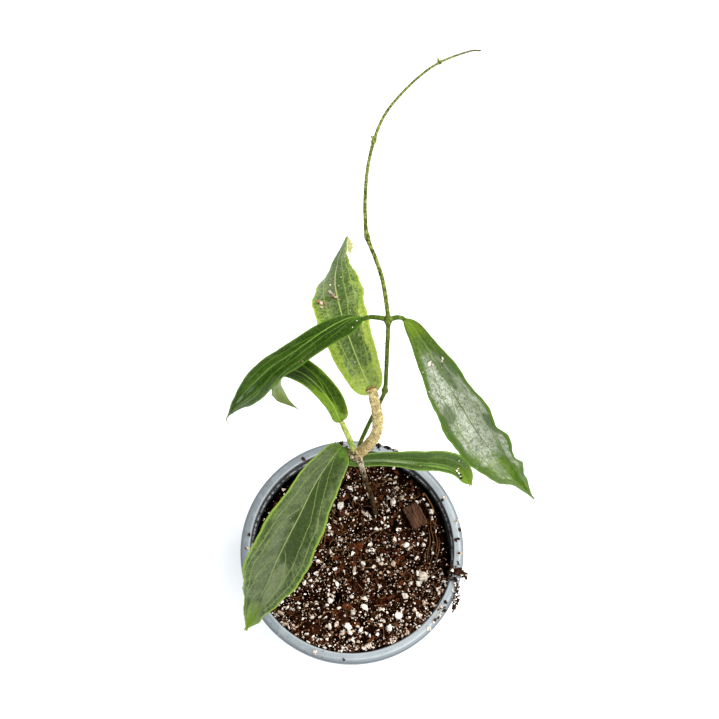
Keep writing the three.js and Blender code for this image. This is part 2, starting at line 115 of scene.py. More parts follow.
# "rib" is the line of a leaf from foot to tip, and "faces" are the ways it faces along it.
# "left" and "right" are how many degrees each half is turned up along the leaf. "ease" is the share
# of that turn which the dressed half has. "trim" is each half's width along the leaf, as a share of
# the plain outline's. "wave" is the height of each half's waves, "count" is how many there are and
# "phase" is where they start. "midrib" is where the midrib runs, from -1 to 1 across the blade.
LEAVES = {
    "leaf_lower_left": {
        "rib": [(-3.6, 26, 159.5), (-13, 11, 162), (-22, -4, 157), (-29, -15, 144),
                (-35, -25, 129), (-41, -32, 113), (-47, -39, 98)],
        "half_width": (14.5, 14.5), "widest": 0.48, "fullness": 0.6,
        "left": [20, 24, 20, 28, 50, 20], "right": [40, 42, 42, 28, 20, 40],
        "ease": [1, 0.95, 0.95, 1], "jag": 1.0,
        "wave": (0.6, 0.6), "count": 5, "phase": 0,
        "trim": ([1.5, 1.08, 0.99, 0.98, 0.97, 0.95, 0.93, 0.87, 1.0, 1.3, 1.4],
                 [1.5, 1.1, 1.0, 1.02, 1.06, 1.03, 0.98, 0.95, 0.97, 1.2, 1.4]),
        "midrib": [0.15, 0.1, 0.03, -0.05, -0.03, 0, 0.03, 0.06, 0.1, 0.1, 0],
    },
    "leaf_mottled": {
        "rib": [(8.6, 40.4, 180.6), (1, 58, 185), (-4, 74, 186), (-6, 89, 182),
                (-6, 104, 174), (-4, 117, 164), (-2, 130, 154)],
        "half_width": (11.5, 11.5), "widest": 0.44, "fullness": 0.42,
        "left": [0, 15, 18, -12, -60, -85, -90], "right": [0, 20, 20, 8, 24, 30, 0],
        "ease": [1, 1], "jag": 1.0,
        "wave": (0.6, 0.6), "count": 3, "phase": 1,
        "trim": ([1.3, 1.05, 1, 1.02, 0.96, 0.88, 0.9, 0.8, 0.7, 0.75, 0.9],
                 [1.3, 1.05, 1, 1, 0.98, 0.92, 0.76, 0.62, 0.55, 0.6, 0.8]),
        "midrib": [0, 0, 0.01, 0.01, 0, -0.05, 0, 0.05, 0.1, 0.15, 0.2],
    },
    "leaf_curled": {
        "rib": [(-3.8, 32.3, 172), (-7.2, 36, 183), (-14.2, 42, 189), (-21.2, 48, 185),
                (-27.2, 53, 174), (-30.3, 53.6, 160), (-29.4, 52.2, 147), (-24.2, 51.4, 136)],
        "faces": [VIEWED, (-0.1, -0.3, 0.95), (-0.35, 0, 0.9), (-0.75, 0.6, 0.2)],
        "half_width": (7.9, 8.2), "widest": 0.6, "fullness": 0.45,
        "left": [36, 58, 58, 40, 20, 10], "right": [16, 32, 45, 40, 20, 10],
        "ease": [0.9, 0.85, 0.9, 1], "jag": 0.4,
        "wave": (0.3, 0.3), "count": 2, "phase": 0,
        "trim": ([1.2, 1.0, 1, 1, 1, 1, 1, 0.95, 0.85, 0.8, 0.9],
                 [1.3, 1.08, 1.08, 1.1, 1.1, 1.06, 1, 0.8, 0.6, 0.5, 0.7]),
        "midrib": [-0.25, -0.2, -0.1, 0.05, 0.1, 0.1, 0.05, 0, 0, 0, 0],
    },
    "leaf_right": {
        "rib": [(-2.9, 28.1, 129.4), (10.3, 30.4, 126.4), (21.6, 30.6, 124), (30.8, 30.5, 120),
                (40.3, 30.9, 115), (49.3, 30.8, 107.5), (57, 27.6, 96)],
        "half_width": (11.5, 7.5), "widest": 0.66, "fullness": 0.5,
        "left": [54, 57, 54, 42, 50, 30], "right": [50, 66, 70, 76, 64, 20],
        "ease": [0.9, 0.88, 0.85, 0.8], "jag": 0.3,
        "wave": (0.4, 0.4), "count": 3, "phase": 2,
        "trim": ([1, 1, 1, 1, 1, 1, 1, 1, 1, 1.1, 1.3],
                 [1, 1, 1, 1, 1, 1, 1, 1, 1, 1.1, 1.3]),
        "midrib": [0, 0, 0, -0.1, -0.15, -0.15, -0.15, -0.15, -0.1, 0, 0],
    },
    "leaf_vine_left": {
        "rib": [(4.8, 58, 212), (-10, 53, 208), (-21, 51, 197), (-32, 50, 185),
                (-41, 48, 172), (-48, 47, 158), (-54, 45, 143)],
        "half_width": (11, 7.6), "widest": 0.6, "fullness": 0.65,
        "left": [50, 50, 48, 42, 38, 40], "right": [15, 44, 54, 66, 77, 78],
        "ease": [0.9, 0.88, 0.82, 0.78], "jag": 0.25,
        "wave": (0.3, 0.3), "count": 3, "phase": 0,
        "trim": ([2, 1.4, 1.12, 1, 1, 1, 0.94, 0.9, 0.84, 0.9, 1.3],
                 [2, 1.6, 1.25, 1.12, 1.04, 1.02, 1.02, 1.06, 1.25, 1.55, 1.8]),
        "midrib": [0.8, 0.5, 0.27, 0.2, 0.07, -0.03, -0.08, -0.1, -0.12, -0.1, 0],
    },
    "leaf_vine_right": {
        "rib": [(20, 58, 212), (29, 43, 212), (39, 31, 205), (48, 22, 193),
                (57, 14, 180), (66, 10, 165), (75, 6, 151)],
        "half_width": (12.5, 12.5), "widest": 0.5, "fullness": 0.7,
        "left": [30, 52, 62, 60, 54, 44], "right": [70, 38, 14, 28, 62, 64],
        "ease": [0.85, 0.92, 0.9, 0.7], "jag": 0.8,
        "wave": (1.1, 0.5), "count": 6.3, "phase": 0.8,
        "trim": ([1.35, 0.98, 0.96, 1.01, 1.04, 1.06, 1.04, 1.04, 1.04, 1.1, 1.2],
                 [1.7, 1.02, 1.02, 1.02, 1.0, 1, 1, 1, 1, 1.1, 1.2]),
        "midrib": [-0.35, -0.29, -0.14, 0.08, 0.12, 0.12, 0.08, 0, -0.02, 0, 0],
    },
}


# ---------------------------------------------------------------- camera and light

CAMERA_PLACE = (3.49, -92.19, 510.91)
CAMERA_TILT = 24.08           # degrees from looking straight down
CAMERA_LENS = 45.06
CAMERA_SENSOR = 36


def make_camera():
    """The camera, which looks down on the plant from the front."""
    camera = bpy.data.objects.new("camera", bpy.data.cameras.new("camera"))
    camera.location = Vector(CAMERA_PLACE) * MM
    camera.rotation_euler = (math.radians(CAMERA_TILT), 0, 0)
    camera.data.lens = CAMERA_LENS
    camera.data.sensor_width = CAMERA_SENSOR
    bpy.context.scene.collection.objects.link(camera)
    bpy.context.scene.camera = camera


def softbox(name, place, size, power, colour):
    """A rectangular lamp that shines at the middle of the plant."""
    light = bpy.data.lights.new(name, "AREA")
    light.shape = "RECTANGLE"
    light.size, light.size_y = size
    light.energy = power
    light.color = colour
    lamp = bpy.data.objects.new(name, light)
    lamp.location = place
    lamp.rotation_euler = (Vector(LIT_PLACE) - Vector(place)).to_track_quat("-Z", "Y").to_euler()
    bpy.context.scene.collection.objects.link(lamp)


SKY = 1.12                    # how bright the evenly lit surroundings are
SKY_COLOUR = (0.96, 0.98, 1, 1)
LIT_PLACE = (0, 0.04, 0.12)   # where the lamps point, in metres
LAMPS = [   # name, place in metres, size, power, colour
    ("key", (0.38, 0.12, 1.05), (0.45, 0.45), 9, (1, 0.98, 0.95)),
    ("side", (1.1, -0.1, 0.4), (0.5, 0.45), 7, (1, 1, 1)),
    ("front", (0.62, -0.6, 0.75), (0.4, 0.3), 5, (1, 0.99, 0.97)),
]


def make_lights():
    """A bright, even studio with three lamps."""
    scene = bpy.context.scene
    scene.view_settings.view_transform = "Standard"
    world = bpy.data.worlds.new("studio")
    world.use_nodes = True
    background = world.node_tree.nodes["Background"]
    background.inputs["Color"].default_value = SKY_COLOUR
    background.inputs["Strength"].default_value = SKY
    scene.world = world
    for lamp in LAMPS:
        softbox(*lamp)


# ---------------------------------------------------------------- curves

def unit(vectors):
    """Each vector at length 1."""
    return vectors / np.linalg.norm(vectors, axis=-1, keepdims=True)


def spline(knots, shares, first, last):
    """The smooth line through `knots` at shares of its span; `first` and `last` lie past its ends."""
    ends = np.concatenate([[first], knots, [last]])
    at = np.clip(shares, 0, 1) * (len(knots) - 1)
    i = np.minimum(at.astype(int), len(knots) - 2)
    w = (at - i).reshape((-1,) + (1,) * (knots.ndim - 1))
    x0, x1, x2, x3 = ends[i], ends[i + 1], ends[i + 2], ends[i + 3]
    t0, t1 = (x2 - x0) / 2, (x3 - x1) / 2
    return x1 + t0 * w + (3 * (x2 - x1) - 2 * t0 - t1) * w**2 + (2 * (x1 - x2) + t0 + t1) * w**3


def curve_through(points, shares):
    """Points of a smooth curve at even shares of its length, and the way ahead at each."""
    knots = np.asarray(points, float)
    past = 2 * knots[0] - knots[1], 2 * knots[-1] - knots[-2]
    fine = np.linspace(0, 1, 801)
    line = spline(knots, fine, *past)
    length = np.concatenate([[0], np.cumsum(np.linalg.norm(np.diff(line, axis=0), axis=1))])
    at = np.interp(np.asarray(shares) * length[-1], length, fine)
    step = 1e-4
    ahead = unit(spline(knots, at + step, *past) - spline(knots, at - step, *past))
    return spline(knots, at, *past), ahead


def value_along(values, shares):
    """The value at each share of the way along a list, on a smooth line through it."""
    knots = np.asarray(values, float)
    return spline(knots, np.asarray(shares, float), knots[0], knots[-1])


def smooth_step(value, low, high):
    """From 0 at `low` to 1 at `high`, smoothly."""
    t = np.clip((np.asarray(value, float) - low) / (high - low), 0, 1)
    return t * t * (3 - 2 * t)


def even_turns(count):
    """Angles at even steps round a full turn."""
    return TURN * np.arange(count) / count


def noise_at(points, scale, seed):
    """Smooth noise from -1 to 1 at each point, with bumps about 1 / scale wide."""
    shift = Vector((seed, 1.7 * seed, 0.3))
    return np.array([noise.noise(Vector(p) * scale + shift) for p in points.tolist()])


# ---------------------------------------------------------------- meshes

def add_piece(name, points, triangles, paint, slot, smooth=True, **values):
    """A piece that rides with the plant, from points in millimetres, with a value or vector per point."""
    mesh = bpy.data.meshes.new(name)
    mesh.vertices.add(len(points))
    mesh.vertices.foreach_set("co", (np.asarray(points) * MM).astype(np.float32).ravel())
    mesh.loops.add(triangles.size)
    mesh.loops.foreach_set("vertex_index", triangles.astype(np.int32).ravel())
    mesh.polygons.add(len(triangles))
    mesh.polygons.foreach_set("loop_start", np.arange(0, triangles.size, 3, dtype=np.int32))
    mesh.update(calc_edges=True)
    mesh.validate()
    mesh.polygons.foreach_set("use_smooth", np.full(len(mesh.polygons), smooth))
    for key, value in values.items():
        kind, field = ("FLOAT", "value") if value.ndim == 1 else ("FLOAT_VECTOR", "vector")
        layer = mesh.attributes.new(key, kind, "POINT")
        layer.data.foreach_set(field, value.astype(np.float32).ravel())
    mesh.materials.append(paint)
    piece = bpy.data.objects.new(name, mesh)
    bpy.context.scene.collection.objects.link(piece)
    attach(piece, "root")
    return piece


def grid_triangles(rows, columns, closed=False):
    """Triangles of a grid of points; the columns join up where it is closed."""
    steps = columns if closed else columns - 1
    row, column = np.meshgrid(np.arange(rows - 1), np.arange(steps), indexing="ij")
    a = row * columns + column
    b = row * columns + (column + 1) % columns
    c, d = b + columns, a + columns
    return np.stack([a, b, c, a, c, d], -1).reshape(-1, 3)


def ring_triangles(count, sides):
    """Triangles over rings of points, closed at both ends by the two points that follow them."""
    here = np.arange(sides)
    following = (here + 1) % sides
    first, start = count * sides, (count - 1) * sides
    caps = np.concatenate([
        np.stack([np.full(sides, first), following, here], -1),
        np.stack([np.full(sides, first + 1), start + here, start + following], -1),
    ])
    return np.concatenate([grid_triangles(count, sides, closed=True), caps])


def sheet_triangles(rows, columns):
    """Triangles of a thin sheet: two faces over one grid, which share the points of its margin."""
    lower = np.arange(rows * columns).reshape(rows, columns)
    inside = np.arange((rows - 2) * (columns - 2)).reshape(rows - 2, columns - 2)
    lower[1:-1, 1:-1] = rows * columns + inside
    upper_faces = grid_triangles(rows, columns)
    return np.concatenate([upper_faces, lower.ravel()[upper_faces][:, ::-1]])


def sheet_rows(upper, lower):
    """Points or values for a sheet: the whole upper face, then the lower one inside its margin."""
    return np.concatenate([upper.reshape(-1, 3), lower[1:-1, 1:-1].reshape(-1, 3)])


TUBE_END = 0.6                # how far a tube's end stands out, as a share of its radius


def tube_shell(points, radius_at, steps, sides, bumps=None):
    """Points and triangles of a closed round tube, with rounded ends, and each point's share along it."""
    shares = np.linspace(0, 1, steps + 1)
    centres, ahead = curve_through(points, shares)
    radii = np.array([radius_at(share) for share in shares])
    across = np.zeros_like(centres)
    across[0] = unit(np.cross(ahead[0], (0.3, 0.9, 0.2)))
    for i in range(1, steps + 1):
        across[i] = unit(across[i - 1] - ahead[i] * np.dot(across[i - 1], ahead[i]))
    other = np.cross(ahead, across)
    turn = even_turns(sides)
    ring = across[:, None] * np.cos(turn)[None, :, None] + other[:, None] * np.sin(turn)[None, :, None]
    reach = np.repeat(radii[:, None], sides, 1)
    if bumps is not None:
        reach = reach + bumps(shares[:, None], turn[None, :])
    body = centres[:, None] + ring * reach[..., None]
    foot = centres[0] - ahead[0] * radii[0] * TUBE_END
    tip = centres[-1] + ahead[-1] * radii[-1] * TUBE_END
    shell = np.concatenate([body.reshape(-1, 3), [foot, tip]])
    share_of = np.concatenate([np.repeat(shares, sides), [0, 1]])
    return shell, ring_triangles(steps + 1, sides), share_of


def joined(shells):
    """Several (points, triangles, *values) as one."""
    counts = np.cumsum([0] + [len(shell[0]) for shell in shells[:-1]])
    triangles = np.concatenate([shell[1] + count for shell, count in zip(shells, counts)])
    others = [np.concatenate(column) for column in list(zip(*shells))[2:]]
    return (np.concatenate([shell[0] for shell in shells]), triangles, *others)


def shell_of(work):
    """The points and triangles of a bmesh, which is freed."""
    bmesh.ops.triangulate(work, faces=work.faces)
    work.verts.index_update()
    points = np.array([v.co[:] for v in work.verts])
    triangles = np.array([[v.index for v in face.verts] for face in work.faces])
    work.free()
    return points, triangles


def ball_shell(subdivisions):
    """A ball of radius 1."""
    work = bmesh.new()
    bmesh.ops.create_icosphere(work, subdivisions=subdivisions, radius=1)
    return shell_of(work)


def chunk_shell(random, corners, flatness):
    """An angular chunk: the hull of a few random points."""
    work = bmesh.new()
    for place in unit(random.normal(size=(corners, 3))) * random.uniform(0.75, 1, (corners, 1)):
        work.verts.new(place * (1, 0.7, flatness))
    hull = bmesh.ops.convex_hull(work, input=work.verts)
    bmesh.ops.delete(work, geom=list(set(hull["geom_interior"] + hull["geom_unused"])), context="VERTS")
    return shell_of(work)


def random_turns(random, count):
    """`count` random rotations, as matrices."""
    w, x, y, z = unit(random.normal(size=(count, 4))).T
    return np.stack([
        1 - 2 * (y * y + z * z), 2 * (x * y - z * w), 2 * (x * z + y * w),
        2 * (x * y + z * w), 1 - 2 * (x * x + z * z), 2 * (y * z - x * w),
        2 * (x * z - y * w), 2 * (y * z + x * w), 1 - 2 * (x * x + y * y),
    ], -1).reshape(count, 3, 3)


FLAT_TILT = 0.18              # the usual tilt of a bit that lies flat


def scatter(shapes, places, sizes, random, flat):
    """Copies of the shapes at the places, each with its own size, turn and tint.

    Where `flat` is set, each lies nearly level and is only spun about the upright.
    """
    shells = []
    pick = random.integers(len(shapes), size=len(places))
    turns = random_turns(random, len(places))
    tints = random.random(len(places))
    spins = random.uniform(0, TURN, len(places))
    if flat:
        tilt = random.normal(0, FLAT_TILT, (len(places), 2))
        turns = np.stack([np.stack([np.cos(spins), -np.sin(spins), tilt[:, 0]], -1),
                          np.stack([np.sin(spins), np.cos(spins), tilt[:, 1]], -1),
                          np.stack([-tilt[:, 0], -tilt[:, 1], np.ones(len(places))], -1)], 1)
    for which, (points, triangles) in enumerate(shapes):
        chosen = np.flatnonzero(pick == which)
        if len(chosen):
            spread = np.einsum("nij,kj->nki", turns[chosen], points) * np.reshape(sizes[chosen], (-1, 1, 1))
            placed = spread + places[chosen][:, None]
            faces = triangles[None] + (np.arange(len(chosen)) * len(points))[:, None, None]
            tint = np.repeat(tints[chosen], len(points))
            shells.append((placed.reshape(-1, 3), faces.reshape(-1, 3), tint))
    return joined(shells)


def add_cloud(name, shapes, places, sizes, random, paint, slot, smooth=False, flat=False):
    """A piece made of scattered copies of the shapes."""
    points, triangles, tint = scatter(shapes, places, sizes, random, flat)
    return add_piece(name, points, triangles, paint, slot, smooth=smooth, tint=tint)


# ---------------------------------------------------------------- materials

STUDIO = 1.75                 # how much brighter than its own colour a level face looks in this light
FLOOR_GLOW = 1.5              # how bright the floor is to what faces it
LAMP_SHARE = 0.065            # how bright a lamp of 1 watt at 1 metre makes what faces it
EVENED = 0.8                  # how much of the difference in light the leaf paint evens out
EVENING_LIMITS = (0.7, 2.3)


def tone(red, green, blue):
    """The colour that looks like these 8-bit sRGB values on a level face in the studio's light."""
    shares = [channel / 255 for channel in (red, green, blue)]
    linear = [c / 12.92 if c <= 0.04045 else ((c + 0.055) / 1.055) ** 2.4 for c in shares]
    return tuple(c / STUDIO for c in linear) + (1,)


class Paint:
    """A material whose look is built up from small steps."""

    def __init__(self, name, roughness=0.5, specular=0.5):
        self.material = bpy.data.materials.new(name)
        self.material.use_nodes = True
        tree = self.material.node_tree
        self.nodes, self.links = tree.nodes, tree.links
        self.shader = self.nodes["Principled BSDF"]
        self.shader.inputs["Roughness"].default_value = roughness
        self.shader.inputs["Specular IOR Level"].default_value = specular

    def node(self, kind, inputs, **settings):
        """A new node of a kind, with its inputs and its settings."""
        made = self.nodes.new("ShaderNode" + kind)
        for key, value in settings.items():
            setattr(made, key, value)
        for socket, value in inputs.items():
            self.feed(made.inputs[socket], value)
        return made

    def feed(self, socket, value):
        """Link a value to a socket, or set it there where it is a constant."""
        if isinstance(value, bpy.types.NodeSocket):
            self.links.new(value, socket)
        else:
            socket.default_value = value

    def math(self, operation, *values, clamp=False):
        """The result of a sum on values."""
        made = self.node("Math", dict(enumerate(values)), operation=operation, use_clamp=clamp)
        return made.outputs[0]

    def times(self, value, factor):
        return self.math("MULTIPLY", value, factor)

    def plus(self, value, more):
        return self.math("ADD", value, more)

    def minus(self, value, less):
        return self.math("SUBTRACT", value, less)

    def times_plus(self, value, factor, more, clamp=False):
        """value * factor + more"""
        return self.math("MULTIPLY_ADD", value, factor, more, clamp=clamp)

    def vector_plus(self, vector, more):
        return self.node("VectorMath", {0: vector, 1: more}, operation="ADD").outputs[0]

    def mix(self, share, low, high):
        """From one colour to another by a share."""
        made = self.node("Mix", {0: share, 6: low, 7: high}, data_type="RGBA")
        return made.outputs[2]

    def scale(self, colour, share):
        """A colour made lighter or darker by a share."""
        grey = self.node("CombineXYZ", {0: share, 1: share, 2: share}).outputs[0]
        made = self.node("Mix", {0: 1.0, 6: colour, 7: grey}, data_type="RGBA", blend_type="MULTIPLY")
        return made.outputs[2]

    def step(self, value, low, high, top=1.0):
        """From 0 at `low` to `top` at `high`, smoothly."""
        made = self.node("MapRange", {0: value}, interpolation_type="SMOOTHSTEP")
        ends = [(low, 0.0), (high, top)]
        for index, (at, result) in enumerate(sorted(ends)):
            made.inputs[1 + index].default_value = at
            made.inputs[3 + index].default_value = result
        return made.outputs[0]

    def place(self):
        """Where the point is, in millimetres."""
        where = self.node("TexCoord", {}).outputs["Object"]
        return self.node("VectorMath", {0: where, 3: 1 / MM}, operation="SCALE").outputs[0]

    def stored(self, name, part="Vector"):
        """A value or a vector that the mesh holds for each point."""
        return self.node("Attribute", {}, attribute_name=name).outputs[part]

    def split(self, vector):
        return self.node("SeparateXYZ", {0: vector}).outputs

    def stretch(self, vector, scale):
        """A vector with each of its parts times its own scale."""
        return self.node("VectorMath", {0: vector, 1: scale}, operation="MULTIPLY").outputs[0]

    def noise(self, vector, scale, detail=2.0, roughness=0.5, distortion=0.0):
        """Soft blotches, about 1 / scale wide, from 0 to 1."""
        inputs = {"Vector": vector, "Scale": scale, "Detail": detail, "Roughness": roughness,
                  "Distortion": distortion}
        return self.node("TexNoise", inputs).outputs["Fac"]

    def cells(self, vector, scale, feature="F1"):
        """The distance from the middle of the nearest of many cells, or from its edge."""
        inputs = {"Vector": vector, "Scale": scale}
        return self.node("TexVoronoi", inputs, feature=feature).outputs["Distance"]

    def bump(self, height, strength, distance, before=None):
        """The normal of a surface with bumps, on top of those before."""
        inputs = {"Height": height, "Strength": strength, "Distance": distance * MM}
        if before is not None:
            inputs["Normal"] = before
        return self.node("Bump", inputs).outputs[0]

    def done(self, colour, roughness=None, normal=None):
        """The material, with what its shader takes."""
        self.feed(self.shader.inputs["Base Color"], colour)
        if roughness is not None:
            self.feed(self.shader.inputs["Roughness"], roughness)
        if normal is not None:
            self.feed(self.shader.inputs["Normal"], normal)
        return self.material


# ---------------------------------------------------------------- leaf shape

def width_share(leaf, share):
    """The share of the half width that the blade has at shares of its length."""
    widest = leaf["widest"]
    rise = (1 - np.abs(1 - np.minimum(share, widest) / widest) ** ROUNDNESS) ** leaf["fullness"]
    past = np.clip((share - widest) / (1 - widest), 0, 1)
    fall = (1 - past**ROUNDNESS) ** TIP_TAPER
    return np.maximum(TIP_WIDTH, np.where(share < widest, rise, fall))


def half_turns(leaf, shares):
    """How far each half is turned up, in radians, and how much of its full reach it then keeps.

    A half is turned a little less than the solid's and reaches less far, so it looks as wide from above.
    """
    ease = value_along(leaf["ease"], shares)
    full = [np.radians(value_along(leaf[half], shares)) for half in ("left", "right")]
    kept = [np.cos(turn) / np.cos(turn * ease) if ease.min() < 1 else np.ones_like(turn) for turn in full]
    return [turn * ease for turn in full], kept


def half_reach(leaf, shares, across):
    """How far from the rib each place is, in millimetres, before its half is turned."""
    _, kept = half_turns(leaf, shares)
    minus, plus = [(value_along(side, shares) * share)[:, None] for side, share in zip(leaf["trim"], kept)]
    half = np.where(across < 0, leaf["half_width"][0], leaf["half_width"][1])
    trim = np.where(across[None] < 0, minus, plus)
    long_waves = JAG[0] * np.sin(TURN * JAG_WAVES[0] * shares + leaf["phase"])
    waves = (long_waves + JAG[1] * np.sin(TURN * JAG_WAVES[1] * shares))[:, None]
    jag = leaf["jag"] * waves * across[None] * np.abs(across[None]) ** 3
    jag = jag * np.sin(math.pi * shares)[:, None]
    return half[None] * width_share(leaf, shares)[:, None] * trim * across[None] + jag


def blade_points(leaf, shares, across, lift):
    """Points of a blade for shares of its length and places across it from -1 to 1.

    `lift` is how far each stands out of the blade's middle sheet, a row for each share.
    """
    point, ahead = curve_through(leaf["rib"], shares)
    face = value_along(leaf.get("faces", [VIEWED, VIEWED]), shares)
    side = unit(np.cross(ahead, face))
    up = unit(np.cross(side, ahead))
    (left, right), _ = half_turns(leaf, shares)
    out = np.abs(across)
    fold = (FOLD[0] + (1 - FOLD[0]) * smooth_step(out, 0, FOLD[1]))[None]
    blend = smooth_step(across, -0.2, 0.2)[None]
    turn = np.where(across < 0, -left[:, None], right[:, None]) * fold
    lean = -left[:, None] * (1 - blend) + right[:, None] * blend
    reach = half_reach(leaf, shares, across)
    height = np.where(across < 0, leaf["wave"][0], leaf["wave"][1])
    shift = np.where(across < 0, LEFT_WAVE_SHIFT, 0)
    wave = np.sin(TURN * leaf["count"] * shares[:, None] + leaf["phase"] + shift[None])
    ripple = height[None] * out[None] ** 2 * np.sin(math.pi * shares)[:, None] * wave
    rise = lift + ripple
    sideways = reach * np.cos(turn) - rise * np.sin(lean)
    upward = reach * np.sin(turn) + rise * np.cos(lean)
    return point[:, None] + side[:, None] * sideways[..., None] + up[:, None] * upward[..., None]


def vein_lines(look):
    """Each vein of a look: its half, where it leaves the rib, how far out it runs and how fast it bends."""
    for half, starts in ((-1, look["veins"][0]), (1, look["veins"][1])):
        for start, reach, bend in starts:
            yield half, start, reach, bend


def vein_relief(look, shares, from_rib):
    """How far the veins stand up at each place, from 0 to 1."""
    height = np.zeros_like(from_rib)
    for half, start, reach, bend in vein_lines(look):
        run = np.maximum(shares - start, 0)[:, None]
        line = half * reach * (1 - np.exp(-bend * run))
        near = np.exp(-((from_rib - line) / VEIN_WIDTH) ** 2)
        height = np.maximum(height, near * smooth_step(shares - start, 0, 0.05)[:, None])
    return height


def painted_fill_light(top):
    """How much lighter to paint each place of a blade, so that its folds and slopes aren't too dark.

    Each row of the blade is taken as a valley, whose sides hide part of the sky and some of the lamps.
    """
    across, along = np.gradient(top, axis=1), np.gradient(top, axis=0)
    normal = unit(np.cross(across, along))
    middle = unit(top[:, -1] - top[:, 0])[:, None]
    upward = unit(np.cross(middle[:, 0], along[:, along.shape[1] // 2]))[:, None]
    place, height = (top * middle).sum(-1), (top * upward).sum(-1)
    off = place[:, None] - place[:, :, None]
    rise = height[:, None] - height[:, :, None]
    angle = np.arctan2(rise, np.abs(off) + 1e-6)
    ahead = np.where(off > 1e-6, angle, -2).max(-1)
    behind = np.where(off < -1e-6, angle, -2).max(-1)
    slope = np.arctan2((normal * upward).sum(-1), (normal * middle).sum(-1))
    first = np.maximum(ahead, slope - math.pi / 2)
    last = np.minimum(math.pi - behind, slope + math.pi / 2)
    seen = (np.sin(last - slope) - np.sin(first - slope)) / 2
    light = np.clip(seen, 0.1, 1) * (SKY + (FLOOR_GLOW - SKY) * (1 - normal[..., 2]) / 2)
    for _, lamp, _, power, _ in LAMPS:
        way = Vector(lamp) - Vector(LIT_PLACE)
        toward = np.array(way.normalized())
        around = np.arctan2((toward * upward).sum(-1), (toward * middle).sum(-1))
        clear = smooth_step(around - ahead, -0.2, 0.2) * smooth_step(math.pi - behind - around, -0.2, 0.2)
        facing = np.clip((normal * toward).sum(-1), 0, 1)
        light = light + LAMP_SHARE * power / way.length_squared * clear * facing
    return np.clip((STUDIO / light) ** EVENED, *EVENING_LIMITS)


def blade_shell(leaf, look):
    """The blade as one closed shell, whose upper and lower faces meet in a rounded margin.

    For each point it stores its place across and along the blade and which face it is on ("blade"), its
    place against the midrib ("vein"), its place in millimetres as if laid flat, and the painted light
    that lightens its folds and slopes.
    """
    shares = np.linspace(0, 1, BLADE_ROWS + 1)
    across = np.sin(np.linspace(-math.pi / 2, math.pi / 2, BLADE_COLUMNS + 1) * MARGIN_CROWDING)
    across /= across[-1]
    out = np.abs(across)[None]
    reach = half_reach(leaf, shares, across)
    from_rib = across[None] - value_along(leaf["midrib"], shares)[:, None]
    length = np.linalg.norm(np.diff(curve_through(leaf["rib"], shares)[0], axis=0), axis=1).sum()
    flat = np.stack([reach, np.repeat(shares[:, None] * length, len(across), 1), np.zeros_like(reach)], -1)
    ends = smooth_step(shares, 0, 0.02) * (1 - smooth_step(shares, 0.975, 1))
    body = np.sqrt(np.clip(1 - out**7, 0, 1)) * np.sqrt(ends)[:, None]
    body[0], body[-1] = 0, 0
    spots = flat.reshape(-1, 3)
    grain = noise_at(spots, 0.13, look["seed"]).reshape(reach.shape)
    fine = noise_at(spots, 0.5, look["seed"] + 5).reshape(reach.shape)
    inside = np.sin(math.pi * shares)[:, None]
    belly = look["belly"] * (1 - (2 * out - 1) ** 2) * inside
    sheet = belly + (look["dents"] * grain + look["wrinkles"] * fine * (1 - out**4)) * inside
    midrib = MIDRIB_HEIGHT * np.exp(-((from_rib / MIDRIB_WIDTH) ** 2)) * (1 - 0.6 * shares)[:, None]
    above = body * (BLADE_THICKNESS / 2 + midrib + VEIN_HEIGHT * vein_relief(look, shares, from_rib))
    keel = KEEL * (1 - shares)[:, None] * np.exp(-KEEL_FALL * out)
    below = body * (BLADE_THICKNESS / 2 + keel)
    top = blade_points(leaf, shares, across, sheet + above)
    under = blade_points(leaf, shares, across, sheet - below)
    blade = np.stack(np.broadcast_arrays(across[None], shares[:, None], 1.0), -1)
    vein = np.stack([from_rib, np.repeat(shares[:, None], len(across), 1), np.zeros_like(reach)], -1)
    # The painted light that lightens the blade's folds and slopes.
    shade = np.repeat(painted_fill_light(top)[..., None], 3, -1)
    stored = {"blade": sheet_rows(blade, blade * (1, 1, 0)), "vein": sheet_rows(vein, vein),
              "flat": sheet_rows(flat, flat), "painted_fill_light": sheet_rows(shade, np.ones_like(shade))}
    return sheet_rows(top, under), sheet_triangles(*reach.shape), stored


def on_blade(leaf, look, share, across, above):
    """A point that lies `above` the upper face of a blade."""
    shares, places = np.array([share]), np.array([across - 0.01, across + 0.01])
    out = np.abs(places)[None]
    inside = np.sin(math.pi * shares)[:, None]
    sheet = look["belly"] * (1 - (2 * out - 1) ** 2) * inside + BLADE_THICKNESS / 2 + above
    one, other = blade_points(leaf, shares, places, sheet)[0]
    return (one + other) / 2
